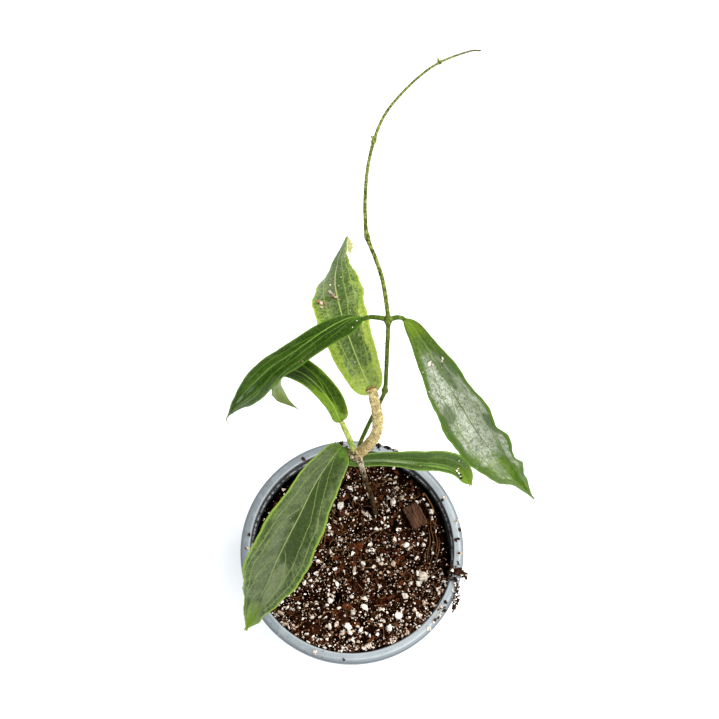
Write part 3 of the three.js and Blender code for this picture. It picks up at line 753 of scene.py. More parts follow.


# ---------------------------------------------------------------- leaf looks

# "belly", "dents" and "wrinkles" are heights of the blade's relief, and "seed" moves its noise.
# "veins" are those of the left and of the right half: for each, where it leaves the rib, how far across
# it runs and how fast it bends there. "deep" and "pale" are the blade's own colours. A patch is its
# place along and across, its reach each way, its colour, its strength and its raggedness; some patches
# are painted sheen or painted shade. "margin", "heel" and "toe" are the colours of the broad margin,
# the foot and the tip of the blade, "rim" is that of its thin edge, and "rib" and "vein" are those of
# the midrib and the side veins. "silver" and "gaps" are the patches of a silvery marking, painted
# brighter as a sheen, and the gaps in it. Of the other values, those with "from" and "reach" say where
# a colour begins or ends, and the rest say how strong a mark is.
LOOKS = {
    "leaf_lower_left": {
        "seed": 1.0, "belly": 0.7, "dents": 0.5, "wrinkles": 0.16, "slot": "leaf", "roughness": 0.42,
        "veins": ([(0.02, 0.85, 6), (0.13, 0.58, 8), (0.45, 0.72, 8), (0.64, 0.7, 9)],
                  [(0.06, 0.9, 7), (0.27, 0.74, 12), (0.5, 0.8, 9), (0.68, 0.7, 9)]),
        "deep": (62, 79, 41), "pale": (115, 128, 88), "pale_share": 0.9, "streaks": 0.65,
        # The first patch is painted shade in the valley beside the midrib; the third, fourth and fifth are
        # painted sheen.
        "patches": [(0.25, -0.3, 0.42, 0.32, (60, 78, 38), 0.9, 0.3),
                    (0.12, -0.45, 0.14, 0.4, (64, 82, 40), 0.7, 0.4),
                    (0.2, 0.5, 0.2, 0.42, (104, 117, 82), 0.5, 0.4),
                    (0.55, 0.34, 0.24, 0.3, (120, 132, 100), 0.5, 0.5),
                    (0.66, -0.3, 0.15, 0.34, (136, 148, 108), 0.75, 0.5),
                    (0.86, 0.2, 0.08, 0.5, (136, 156, 88), 0.6, 0.5)],
        "margin": (90, 122, 42), "margin_from": 0.8, "margin_share": 0.75, "rim": (142, 170, 70),
        "heel": (98, 132, 50), "heel_reach": 0.09, "toe": (114, 148, 6), "toe_from": 0.76,
        "rib": (158, 176, 104), "vein": (138, 158, 90), "net_share": 0.18, "speck": 0.25,
        "underside": (124, 146, 88),
    },
    "leaf_mottled": {
        "seed": 2.3, "grain": 2.0, "belly": 0.5, "dents": 0.6, "wrinkles": 0.2,
        "slot": "leaf_mottled", "roughness": 0.4,
        "veins": ([(0.0, 0.52, 12)], [(0.0, 0.68, 9), (0.27, 0.36, 26)]),
        "deep": (80, 106, 44), "pale": (126, 148, 88), "pale_share": 0.85, "streaks": 0.25,
        # The second patch is painted sheen.
        "patches": [(0.64, 0.3, 0.24, 0.5, (84, 110, 50), 0.85, 0.5),
                    (0.5, -0.55, 0.14, 0.5, (118, 132, 98), 0.75, 0.3),
                    (0.16, 0.9, 0.26, 0.26, (204, 224, 104), 0.85, 0.6),
                    (0.1, -0.85, 0.24, 0.24, (160, 188, 66), 0.75, 0.6),
                    (0.425, -0.42, 0.018, 0.24, (58, 84, 24), 0.85, 0.5)],
        "margin": (140, 172, 44), "margin_from": 0.66, "margin_share": 0.85, "rim": (192, 212, 100),
        "heel": (188, 212, 100), "heel_reach": 0.15, "toe": (88, 110, 60), "toe_from": 0.55,
        "rib": (196, 216, 116), "rib_end": (208, 200, 146), "rib_end_from": (0.44, 0.48),
        "vein": (164, 190, 84), "net_share": 0.6, "speck": 1.0, "underside": (150, 172, 98),
    },
    "leaf_curled": {
        "seed": 3.1, "grain": 1.6, "belly": 0.3, "dents": 0.35, "wrinkles": 0.1,
        "slot": "leaf", "roughness": 0.42,
        "veins": ([(0.02, 0.5, 10), (0.12, 0.7, 8)], [(0.02, 0.55, 10), (0.16, 0.6, 9)]),
        "deep": (44, 70, 10), "pale": (78, 104, 32), "pale_share": 0.7, "streaks": 0.4,
        "patches": [(0.11, -0.55, 0.17, 0.62, (124, 156, 44), 0.9, 0.5),
                    (0.03, 0.3, 0.13, 0.9, (124, 154, 50), 0.85, 0.4),
                    (0.24, 0.55, 0.22, 0.55, (50, 76, 10), 0.9, 0.4),
                    (0.34, -0.2, 0.1, 0.9, (66, 88, 42), 0.8, 0.5)],
        "margin": (98, 132, 32), "margin_from": 0.8, "margin_share": 0.7, "rim": (130, 162, 54),
        "heel": (150, 178, 70), "heel_reach": 0.07, "toe": (96, 118, 52), "toe_from": 0.9,
        "rib": (160, 186, 84), "vein": (108, 140, 48), "net_share": 0.15, "speck": 0.25,
        "underside": (124, 142, 74),
    },
    "leaf_right": {
        "seed": 4.7, "belly": 0.4, "dents": 0.3, "wrinkles": 0.08, "slot": "leaf", "roughness": 0.42,
        "veins": ([(0.28, 0.5, 7)], [(0.42, 0.5, 6)]),
        "deep": (68, 92, 40), "pale": (96, 118, 58), "pale_share": 0.7, "streaks": 0.4,
        # The first patch is a painted sheen along the midrib.
        "patches": [(0.24, 0.08, 0.22, 0.28, (128, 142, 106), 0.85, 0.12),
                    (0.3, -0.8, 0.32, 0.3, (66, 88, 46), 0.75, 0.3),
                    (0.66, 0.3, 0.14, 0.5, (98, 128, 52), 0.6, 0.5),
                    (0.95, 0, 0.2, 1.4, (106, 140, 16), 0.85, 0.3)],
        "margin": (90, 126, 40), "margin_from": 0.78, "margin_share": 0.7, "rim": (132, 162, 72),
        "heel": (104, 134, 60), "heel_reach": 0.05, "toe": (114, 148, 14), "toe_from": 0.82,
        "rib": (122, 146, 80), "vein": (106, 132, 62), "net_share": 0.12, "speck": 0.4,
        "underside": (112, 132, 84),
    },
    "leaf_vine_left": {
        "seed": 5.9, "grain": 1.6, "belly": 0.2, "dents": 0.25, "wrinkles": 0.08,
        "slot": "leaf", "roughness": 0.36,
        "veins": ([(0.0, 0.45, 12), (0.0, 0.92, 14), (0.3, 0.7, 6)], [(0.17, 0.7, 7), (0.62, 0.9, 6)]),
        "deep": (44, 70, 14), "pale": (74, 100, 32), "pale_share": 0.75, "streaks": 0.35,
        # The third and fourth patches are painted sheen near the tip.
        "patches": [(0.12, 0.3, 0.07, 0.6, (46, 72, 22), 0.7, 0.3),
                    (0.55, 0.3, 0.26, 0.5, (74, 108, 32), 0.5, 0.4),
                    (0.68, -0.26, 0.05, 0.09, (108, 132, 100), 0.6, 0.6),
                    (0.8, -0.24, 0.05, 0.14, (124, 148, 118), 0.7, 0.6)],
        "margin": (60, 94, 18), "margin_from": 0.86, "margin_share": 0.5, "rim": (96, 132, 36),
        "heel": (72, 108, 28), "heel_reach": 0.06, "toe": (70, 100, 40), "toe_from": 0.9,
        "rib": (134, 170, 66), "vein": (108, 142, 54), "net_share": 0.2, "speck": 0.3,
        "underside": (104, 128, 72),
    },
    "leaf_vine_right": {
        "seed": 7.2, "belly": 0.5, "dents": 0.7, "wrinkles": 0.45, "slot": "leaf", "roughness": 0.34,
        "specular": 0.14,
        "veins": ([(0.0, 0.55, 8), (0.2, 0.7, 8), (0.6, 0.7, 8)],
                  [(0.0, 0.5, 9), (0.3, 0.65, 8), (0.58, 0.7, 8)]),
        "deep": (74, 104, 28), "pale": (112, 138, 60), "pale_share": 0.75, "streaks": 0.4,
        "patches": [(0.75, 0.0, 0.1, 0.3, (130, 158, 58), 0.6, 0.5),
                    (0.86, 0.3, 0.14, 0.6, (78, 114, 18), 0.7, 0.4),
                    (0.17, 0.1, 0.08, 0.7, (96, 122, 62), 0.7, 0.5)],
        # The silver patches are the leaf's own silvery marking, painted brighter as a sheen.
        "silver": [(0.4, 0.0, 0.25, 1.0, (216, 222, 200), 0.85, 0.28),
                   (0.28, 0.5, 0.13, 0.36, (240, 244, 232), 0.6, 0.4),
                   (0.52, 0.3, 0.16, 0.5, (234, 238, 224), 0.6, 0.5),
                   (0.4, -0.4, 0.2, 0.4, (220, 226, 206), 0.4, 0.6),
                   (0.7, 0.42, 0.08, 0.32, (190, 204, 160), 0.7, 0.6),
                   (0.62, -0.75, 0.12, 0.16, (232, 238, 216), 0.6, 0.6)],
        "gaps": [(0.46, -0.74, 0.06, 0.24, (78, 102, 50), 0.8, 0.5),
                 (0.37, 0.62, 0.045, 0.22, (84, 104, 62), 0.8, 0.5),
                 (0.25, -0.15, 0.07, 0.3, (84, 108, 58), 0.75, 0.5),
                 (0.22, -0.75, 0.05, 0.3, (84, 110, 54), 0.75, 0.5),
                 (0.45, 0.98, 0.14, 0.24, (72, 106, 20), 0.9, 0.3),
                 (0.62, 0.98, 0.12, 0.2, (80, 114, 26), 0.8, 0.3),
                 (0.6, -0.5, 0.035, 0.2, (94, 120, 58), 0.6, 0.6)],
        "margin": (70, 104, 18), "margin_from": 0.86, "margin_share": 0.85, "rim": (100, 136, 30),
        "heel": (124, 152, 40), "heel_reach": 0.16, "toe": (84, 118, 12), "toe_from": 0.56,
        "rib": (94, 116, 66), "rib_start": (150, 178, 84), "rib_end": (156, 182, 74),
        "rib_end_from": (0.58, 0.66),
        "vein": (128, 152, 88), "net_share": 0.12, "speck": 0.3, "underside": (110, 136, 76),
    },
}

USUAL_SHINE = 0.06
USUAL_GRAIN = 1.3               # how strongly the fine grain lightens and darkens a blade
SILVER_SHADE = (112, 128, 88)   # the colour between the painted bright wrinkles of the silvery marking
SPECK_COLOUR = (206, 216, 186)
VEIN_LINE = 0.26                # the usual width of a painted vein, in millimetres
PATCH_EDGE = (1.12, 0.7)        # where a patch fades in, as shares of its reach


def oval(paint, where, patch, wander):
    """How much a patch covers: its strength inside an oval of the blade, and 0 past its ragged edge."""
    along, across, long_reach, wide_reach, _, strength, ragged = patch
    off = paint.node("VectorMath", {0: where, 1: (across, along, 0)}, operation="SUBTRACT").outputs[0]
    scaled = paint.stretch(off, (1 / wide_reach, 1 / long_reach, 0))
    reach = paint.node("VectorMath", {0: scaled}, operation="LENGTH").outputs["Value"]
    return paint.step(paint.times_plus(wander, 2 * ragged, reach), *PATCH_EDGE, strength)


def silver_sheen(paint, look, colour, blade, shifted, crackle, wander):
    """The leaf's silvery marking over a colour, crinkled and painted brighter as a sheen, with gaps."""
    drawn = paint.noise(paint.stretch(shifted, (1, 0.45, 1)), 1.1, 4.0, 0.75, 1.2)
    crinkled = paint.plus(paint.times(crackle, 0.55), paint.times(drawn, 0.45))
    bright = paint.step(crinkled, 0.4, 0.59)
    for patch in look["silver"]:
        cover = oval(paint, blade, patch, wander)
        colour = paint.mix(paint.times(cover, 0.75), colour, tone(*SILVER_SHADE))
        colour = paint.mix(paint.times(cover, bright), colour, tone(*patch[4]))
    for patch in look["gaps"]:
        colour = paint.mix(oval(paint, blade, patch, wander), colour, tone(*patch[4]))
    return colour


def side_veins(paint, look, along, from_rib, wander, width):
    """How much of a place the side veins cover."""
    lines = None
    for half, start, reach, bend in vein_lines(look):
        run = paint.math("MAXIMUM", paint.minus(along, start), 0.0)
        decay = paint.math("EXPONENT", paint.times(run, -bend))
        line = paint.times_plus(decay, -reach, reach)
        line = paint.times_plus(wander, 0.12, line)
        off = paint.math("ABSOLUTE", paint.minus(paint.times(from_rib, half), line))
        drawn = paint.step(off, 1.5 * width, 0.5 * width, 0.8)
        mark = paint.times(drawn, paint.step(run, 0.002, 0.03))
        lines = mark if lines is None else paint.math("MAXIMUM", lines, mark)
    return lines


def leaf_paint(name, leaf, look):
    """A waxy skin with streaks, patches, margins, a fine net, veins, a midrib and a paler underside; some
    patches are painted sheen or painted shade, and painted light lightens its folds and slopes.
    """
    def hue(key):
        return tone(*look[key])

    paint = Paint(name + "_paint", specular=look.get("specular", USUAL_SHINE))
    blade, vein, flat = paint.stored("blade"), paint.stored("vein"), paint.stored("flat")
    across, along, upper = paint.split(blade)
    from_rib = paint.split(vein)[0]
    out = paint.math("ABSOLUTE", across)
    shifted = paint.vector_plus(flat, (17 * look["seed"], 0, 0))
    blotches = paint.noise(shifted, 0.16, 3.0, 0.6)
    wander = paint.minus(blotches, 0.5)
    fine = paint.noise(shifted, 0.95, 4.0, 0.7)

    # Streaks that run out from the rib and ahead, as the side veins do.
    side, ahead, _ = paint.split(flat)
    outward = paint.math("ABSOLUTE", side)
    cross = paint.minus(paint.times(ahead, 0.5), paint.times(outward, 0.87))
    down = paint.plus(paint.times(ahead, 0.87), paint.times(outward, 0.5))
    drawn_out, which_half = paint.times(down, 0.16), paint.step(side, -0.1, 0.1, 9)
    brushed = paint.node("CombineXYZ", {0: cross, 1: drawn_out, 2: which_half})
    streaks = paint.noise(brushed.outputs[0], 0.55, 4.0, 0.65)
    mottle = paint.node("Mix", {0: look["streaks"], 2: fine, 3: streaks}, data_type="FLOAT").outputs[0]
    share = paint.times_plus(wander, 0.8, mottle)
    colour = paint.mix(paint.step(share, 0.36, 0.68, look["pale_share"]), hue("deep"), hue("pale"))

    # The patches, some of them painted sheen or painted shade, and a broad margin that wanders, the heel and
    # the toe.
    for patch in look["patches"]:
        cover = oval(paint, blade, patch, wander)
        faint = paint.times(cover, paint.times_plus(streaks, 0.9, 0.5, clamp=True))
        colour = paint.mix(faint, colour, tone(*patch[4]))
    ragged = paint.times(wander, 0.35)
    edge = paint.step(paint.plus(out, ragged), look["margin_from"], 1.0, look["margin_share"])
    colour = paint.mix(edge, colour, hue("margin"))
    heel = paint.step(paint.plus(along, ragged), look["heel_reach"], 0.0)
    colour = paint.mix(heel, colour, hue("heel"))
    toe = paint.step(paint.plus(along, paint.times(ragged, 0.4)), look["toe_from"], 1.0)
    colour = paint.mix(toe, colour, hue("toe"))
    grain = look.get("grain", USUAL_GRAIN)
    colour = paint.scale(colour, paint.times_plus(fine, grain, 1.01 - 0.5 * grain))

    crackle = paint.noise(shifted, 0.75, 4.0, 0.7, 1.6)
    # The silvery marking, with its painted sheen.
    if "silver" in look:
        colour = silver_sheen(paint, look, colour, blade, shifted, crackle, wander)
        colour = paint.mix(paint.step(out, 0.86, 0.95, 0.85), colour, hue("margin"))

    # Fine net between the veins, then the veins and the midrib.
    swirl = paint.node("TexNoise", {"Vector": shifted, "Scale": 0.5}).outputs["Color"]
    bent = paint.vector_plus(flat, paint.stretch(swirl, (2.4, 2.4, 0)))
    net = paint.cells(bent, 0.42, "DISTANCE_TO_EDGE")
    netted = paint.times(paint.step(net, 0.09, 0.0, look["net_share"]), paint.step(out, 0.1, 0.7))
    colour = paint.mix(netted, colour, hue("rim"))
    width = VEIN_LINE / min(leaf["half_width"])
    lines = side_veins(paint, look, along, from_rib, wander, width)
    colour = paint.mix(paint.times(lines, paint.step(fine, 0.2, 0.55)), colour, hue("vein"))
    rib_colour = hue("rib")
    if "rib_start" in look:
        rib_colour = paint.mix(paint.step(along, 0.3, 0.2), rib_colour, hue("rib_start"))
    if "rib_end" in look:
        rib_colour = paint.mix(paint.step(along, *look["rib_end_from"]), rib_colour, hue("rib_end"))
    slim = paint.times_plus(along, -1.1 * width, 1.7 * width)
    beyond = paint.minus(paint.math("ABSOLUTE", from_rib), slim)
    colour = paint.mix(paint.step(beyond, 0.5 * width, -0.9 * width, 0.9), colour, rib_colour)

    # The thin bright margin, and pale specks.
    rim = paint.step(paint.times_plus(fine, 0.06, out), 0.955, 0.99)
    colour = paint.mix(rim, colour, hue("rim"))
    dots = paint.cells(shifted, 0.62)
    rare = paint.noise(shifted, 0.31, 1.0)
    speck = paint.times(paint.step(dots, 0.2, 0.1), paint.step(rare, 0.5, 0.62, look["speck"]))
    colour = paint.mix(speck, colour, tone(*SPECK_COLOUR))

    # The paler underside, mottled too.
    beneath = paint.scale(hue("underside"), paint.times_plus(share, 1.1, 0.42))
    colour = paint.mix(upper, beneath, colour)
    # Painted light, which lightens the folds and slopes that the lamps leave darker.
    colour = paint.scale(colour, paint.split(paint.stored("painted_fill_light"))[0])
    roughness = paint.times_plus(fine, 0.14, look["roughness"] - 0.07)
    height = paint.plus(paint.times(net, 0.5), paint.times(fine, 0.8))
    normal = paint.bump(height, 0.55, 0.3)
    if "silver" in look:
        normal = paint.bump(crackle, 0.9, 0.7, normal)
    return paint.done(colour, roughness, normal)


def make_leaf(name, leaf, look):
    """The blade of one leaf."""
    points, faces, stored = blade_shell(leaf, look)
    piece = add_piece(name + "_blade", points, faces, leaf_paint(name, leaf, look), look["slot"], **stored)
    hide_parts(name)


# ---------------------------------------------------------------- petioles and stems

def stem_paint(name, light, dark, scars, scale=1.0, streak=6.0, scar_share=0.6):
    """Bark or skin: long streaks from light to dark, with scars."""
    paint = Paint(name, specular=0.03)
    where = paint.place()
    along = paint.stored("along", "Fac")
    long_grain = paint.noise(paint.stretch(where, (1, 1, 1 / streak)), 1.1 * scale, 4.0, 0.65)
    colour = paint.mix(paint.step(long_grain, 0.4, 0.6), tone(*dark), tone(*light))
    spots = paint.noise(where, 1.9 * scale, 3.0, 0.7)
    colour = paint.mix(paint.step(spots, 0.56, 0.66, scar_share), colour, tone(*scars))
    normal = paint.bump(paint.plus(long_grain, spots), 0.7, 0.35)
    return paint, colour, along, normal


def add_twigs(name, paths, radius_at, grid, paint_name, colours, roughness, slot):
    """Thin stalks along several paths, as one piece; `grid` is their steps and sides."""
    points, triangles = joined([tube_shell(path, radius_at, *grid)[:2] for path in paths])
    paint, colour, _, normal = stem_paint(paint_name, *colours)
    material = paint.done(colour, roughness, normal)
    add_piece(name, points, triangles, material, slot, along=np.zeros(len(points)))


def stem_bumps(amount, lengthwise, seed):
    """A function that gives how far a stem's skin stands out at a share of its length and a turn."""
    def bumps(share, turn):
        wave = np.sin(3 * turn + 40 * share + seed) + np.sin(5 * turn - 73 * share + 2 * seed)
        rings = np.sin(lengthwise * share + np.sin(2 * turn + seed))
        return amount * (0.35 * wave + 0.65 * rings)
    return bumps


def swelling(share, centre, width, height):
    """How much thicker a stem is beside the centre of a swelling."""
    return height * math.exp(-(((share - centre) / width) ** 2))


def share_near(points, place):
    """The share of a curve's length at which it comes nearest a place."""
    shares = np.linspace(0, 1, 1001)
    line, _ = curve_through(points, shares)
    return shares[np.argmin(np.linalg.norm(line - np.asarray(place), axis=1))]


# The path of each stalk, its radii at both ends, its light, dark and scar colours, the height of its
# bumps and how strong its scars are.
PETIOLES = {
    "leaf_lower_left": ([NODE_A, (-0.7, 23.6, 159.4), (-2.6, 24.9, 158.5), (-4.6, 24, 158.2)], (1.4, 1.0),
                        (122, 140, 70), (90, 104, 48), (112, 82, 56), 0.04, 0.5),
    "leaf_mottled": ([(3.2, 22.6, 160.9), (4.7, 23.2, 162.1), (7.7, 25.1, 166), (10.3, 28, 170),
                      (10.8, 32.8, 174), (9.7, 37.5, 178), (8.6, 41, 180.6), (7.8, 43.2, 181.2)], (2.25, 2.0),
                     (268, 248, 176), (206, 184, 128), (96, 68, 38), 0.2, 0.8),
    "leaf_curled": ([(1.9, 23.3, 161.2), (0.8, 24.2, 162.5), (-0.4, 26.4, 166), (-2.2, 29.2, 170),
                     (-3.7, 32, 171.9)], (1.25, 1.05),
                    (204, 212, 122), (146, 172, 62), (236, 230, 184), 0.04, 0.5),
    "leaf_right": ([(0.6, 22.2, 156.6), (-0.5, 22.2, 155.4), (-4, 22.8, 151.4), (-7, 24.4, 144),
                    (-7.8, 26.4, 136), (-5.6, 27.7, 130), (-1.6, 28.3, 128.8)], (1.2, 1.1),
                   (112, 134, 66), (80, 100, 44), (96, 78, 50), 0.04, 0.4),
    "leaf_vine_left": ([NODE_B, (12.45, 56.6, 214.8), (10.3, 57.2, 214.5), (7.4, 57.9, 213.4),
                        (4.8, 57.9, 212)], (1.0, 0.8),
                       (104, 132, 44), (66, 92, 26), (136, 148, 80), 0.03, 0.4),
    "leaf_vine_right": ([NODE_B, (15.55, 56.6, 214.8), (17.2, 57.3, 214.4), (19.2, 58, 212.6),
                         (20.2, 57.6, 211.9)], (1.0, 0.8),
                        (104, 132, 44), (66, 92, 26), (136, 148, 80), 0.03, 0.4),
}
CORKY = "leaf_mottled"        # the leaf whose stalk is thick and corky
CORK_LENGTH = 27              # of that stalk, in millimetres, and its radius
CORK_RADIUS = 2.2
PETIOLE_STEPS = 120
PETIOLE_SIDES = 32


def corky_paint(name, light, dark, scars):
    """Tan cork with fine cross cracks, dark specks and a brown ring at its upper end."""
    paint = Paint(name, specular=0.08)
    where = paint.place()
    along = paint.stored("along", "Fac")
    cloud = paint.noise(where, 0.5, 3.0, 0.6)
    colour = paint.mix(paint.step(cloud, 0.36, 0.62), tone(*dark), tone(*light))
    worn = paint.times_plus(cloud, -0.5, along)
    colour = paint.mix(paint.step(worn, 0.2, -0.1, 0.45), colour, tone(176, 136, 92))
    around = paint.stored("skin")
    cracks = paint.noise(paint.stretch(around, (0.9, 3.2, 1)), 1.3, 3.0, 0.75, 0.5)
    colour = paint.mix(paint.step(cracks, 0.5, 0.62, 0.7), colour, tone(*scars))
    pits = paint.cells(around, 1.15)
    colour = paint.mix(paint.step(pits, 0.24, 0.12, 0.8), colour, tone(120, 96, 66))
    frayed = paint.times_plus(cracks, 0.05, along)
    colour = paint.mix(paint.step(frayed, 0.982, 0.988), colour, tone(156, 100, 58))
    colour = paint.mix(paint.step(frayed, 1.0, 1.006), colour, tone(166, 188, 92))
    height = paint.minus(paint.step(pits, 0.1, 0.4), cracks)
    return paint.done(colour, 0.75, paint.bump(height, 0.9, 0.4))


def skin_map(shares, sides, length, radius):
    """Millimetres around and along a tube, for each of its points."""
    turn = even_turns(sides)
    ring = np.stack(np.broadcast_arrays(radius * np.sin(turn)[None], (shares * length)[:, None],
                                        radius * np.cos(turn)[None]), -1)
    return np.concatenate([ring.reshape(-1, 3), ring[0, :1], ring[-1, :1]])


def make_petiole(name, look):
    """The stalk of one leaf."""
    path, (start, end), light, dark, scars, bump, scar_share = PETIOLES[name]
    corky = name == CORKY

    def radius_at(share):
        return start + (end - start) * share + (swelling(share, 0.97, 0.03, 0.2) if corky else 0)

    bumps = stem_bumps(bump, 110 if corky else 40, 1.3)
    points, triangles, along = tube_shell(path, radius_at, PETIOLE_STEPS, PETIOLE_SIDES, bumps)
    values = {"along": along}
    colours = (light, dark, scars)
    paint_name = name + "_petiole_paint"
    if corky:
        shares = np.linspace(0, 1, PETIOLE_STEPS + 1)
        values["skin"] = skin_map(shares, PETIOLE_SIDES, CORK_LENGTH, CORK_RADIUS)
        material = corky_paint(paint_name, *colours)
    else:
        paint, colour, _, normal = stem_paint(paint_name, *colours, 0.7, 3.0, scar_share)
        material = paint.done(colour, 0.5, normal)
    add_piece(name + "_petiole", points, triangles, material, look["slot"], **values)


def make_woody_stem():
    """The stem: dark flecked bark low down, pale streaked bark above, and a swollen knot at its top."""
    def radius_at(share):
        knot = swelling(share, 0.995, 0.035, 0.8) + swelling(share, 0.93, 0.02, 0.3)
        return 1.05 + 0.25 * share**2 + knot + swelling(share, 0.0, 0.25, 0.15)

    points, triangles, shares = tube_shell(WOODY_STEM, radius_at, 220, 36, stem_bumps(0.1, 150, 0.4))
    colours = (255, 240, 208), (84, 62, 32), (52, 32, 14)
    paint, colour, along, normal = stem_paint("woody_stem_paint", *colours, 1.3, 7.0, 0.85)
    stained = paint.step(along, 0.88, 0.55)
    flecks = paint.noise(paint.stretch(paint.place(), (1, 1, 0.4)), 1.3, 3.0, 0.7)
    flecked = paint.step(flecks, 0.52, 0.64, 0.5)
    bark = paint.mix(flecked, tone(42, 24, 0), tone(140, 112, 44))
    colour = paint.mix(paint.times(stained, 0.95), colour, bark)
    knotty = paint.step(along, 0.93, 0.98, 0.5)
    colour = paint.mix(knotty, colour, tone(170, 128, 92))
    material = paint.done(colour, 0.7, normal)
    stem = add_piece("stem_bark", points, triangles, material, "woody_stem", along=shares)
    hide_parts("woody_stem")


KNOBS = [   # centre and radius of the knobs and old scars about the lower node
    ((0.0, 23.6, 161.0), 0.95), ((0.5, 21.1, 160.2), 1.05), ((-0.7, 22.3, 160.0), 0.85),
    ((2.2, 21.2, 161.2), 0.9), ((1.2, 22.4, 161.9), 0.8), ((3.4, 21.6, 161.2), 0.75),
    ((0.9, 20.4, 158.6), 0.7), ((-0.9, 21.4, 158.8), 0.6),
]


def make_knobs():
    """The knobs and old scars about the lower node."""
    random = np.random.default_rng(3)
    shapes = grain_shapes(random, 4)
    places = np.array([place for place, _ in KNOBS])
    sizes = np.array([size for _, size in KNOBS])
    paint = grain_paint("knob_paint", (240, 216, 180), (88, 48, 28), 0.6, (70, 38, 24))
    add_cloud("node_knobs", shapes, places, sizes, random, paint, "woody_stem", smooth=True)


VINE_JOINTS = [   # place, how far it swells, and over what length
    ((13.4, 40.2, 185), 0.55, 1.5), (NODE_B, 0.85, 1.5), ((6.2, 77.4, 238), 0.4, 1.4),
    ((8.8, 116, 242), 0.4, 1.5), ((36.9, 173, 220), 0.32, 1.4),
]
BUD_SCALES = [   # place, the way it points, length
    ((6.0, 78.2, 238.7), (-0.5, 0.9, 0.5), 1.6), ((8.4, 116.6, 242.6), (-0.7, 0.8, 0.3), 1.5),
    ((9.2, 115.4, 242.6), (0.6, 0.8, 0.3), 1.1), ((36.2, 173.4, 220.7), (-0.2, 0.9, 0.5), 1.6),
    ((37.6, 172.8, 220.6), (0.9, 0.5, 0.2), 1.2), ((13.9, 57.6, 216.4), (0, 0.9, 0.5), 1.4),
    ((14.2, 54.6, 215.6), (0.2, -0.8, 0.5), 1.2), ((13.8, 40.9, 186.2), (0.5, 0.6, 0.6), 1.5),
]
ROOTLETS = [   # the line of each short air root
    [(12.9, 59.5, 221), (11.2, 59.6, 222), (9.3, 60.1, 222.4)],
    [(13.6, 61.6, 223), (14.8, 62.8, 224), (15.1, 64, 224)],
    [(13.5, 60.6, 222), (15.3, 60.2, 223), (16, 59.3, 223)],
    [(13.7, 50.6, 206), (12, 50.4, 207), (11, 50.9, 207)],
    [(7.6, 113.4, 242), (5.8, 113.9, 242.6), (3.6, 114.8, 243)],
    [(8.6, 118, 241.8), (8, 119.6, 242.4), (7.5, 121, 242.4)],
    [(13.6, 46.2, 199), (12.6, 46, 199.6), (12.1, 46.5, 200)],
]


def make_vine():
    """The long shoot with its swollen joints, bud scales and short air roots."""
    knots = np.asarray(VINE, float)
    length = np.linalg.norm(np.diff(knots, axis=0), axis=1).sum()
    joints = [(share_near(VINE, place), reach / length, swell) for place, swell, reach in VINE_JOINTS]

    def radius_at(share):
        radius = float(value_along(VINE_RADII, np.array([share]))[0])
        return radius + sum(swelling(share, *joint) for joint in joints)

    points, triangles, shares = tube_shell(VINE, radius_at, 520, 20, stem_bumps(0.025, 260, 2.2))
    colours = (156, 168, 82), (54, 72, 16), (118, 102, 56)
    paint, colour, along, normal = stem_paint("vine_paint", *colours, 0.9, 9.0, 0.5)
    colour = paint.mix(paint.step(along, 0.42, 0.2, 0.7), colour, tone(78, 106, 30))
    colour = paint.mix(paint.step(along, 0.84, 1.0, 0.85), colour, tone(84, 68, 40))
    vine = add_piece("vine_shoot", points, triangles, paint.done(colour, 0.45, normal), "vine", along=shares)
    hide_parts("vine")

    scales = []
    for place, way, size in BUD_SCALES:
        foot, heading = np.array(place), unit(np.array(way, float)) * size
        scales.append([foot + share * heading for share in (-0.2, 0.3, 0.75, 1)])
    colours = (176, 184, 96), (110, 128, 50), (120, 92, 58)
    add_twigs("bud_scales", scales, lambda share: 0.5 * (1 - share) ** 0.7 + 0.05, (14, 12),
              "bud_scale_paint", colours, 0.5, "vine")
    colours = (240, 234, 178), (212, 202, 130), (196, 160, 96)
    add_twigs("air_rootlets", ROOTLETS, lambda share: 0.2 - 0.13 * share, (14, 8),
              "rootlet_paint", colours, 0.6, "vine")


# ---------------------------------------------------------------- small things on the leaves

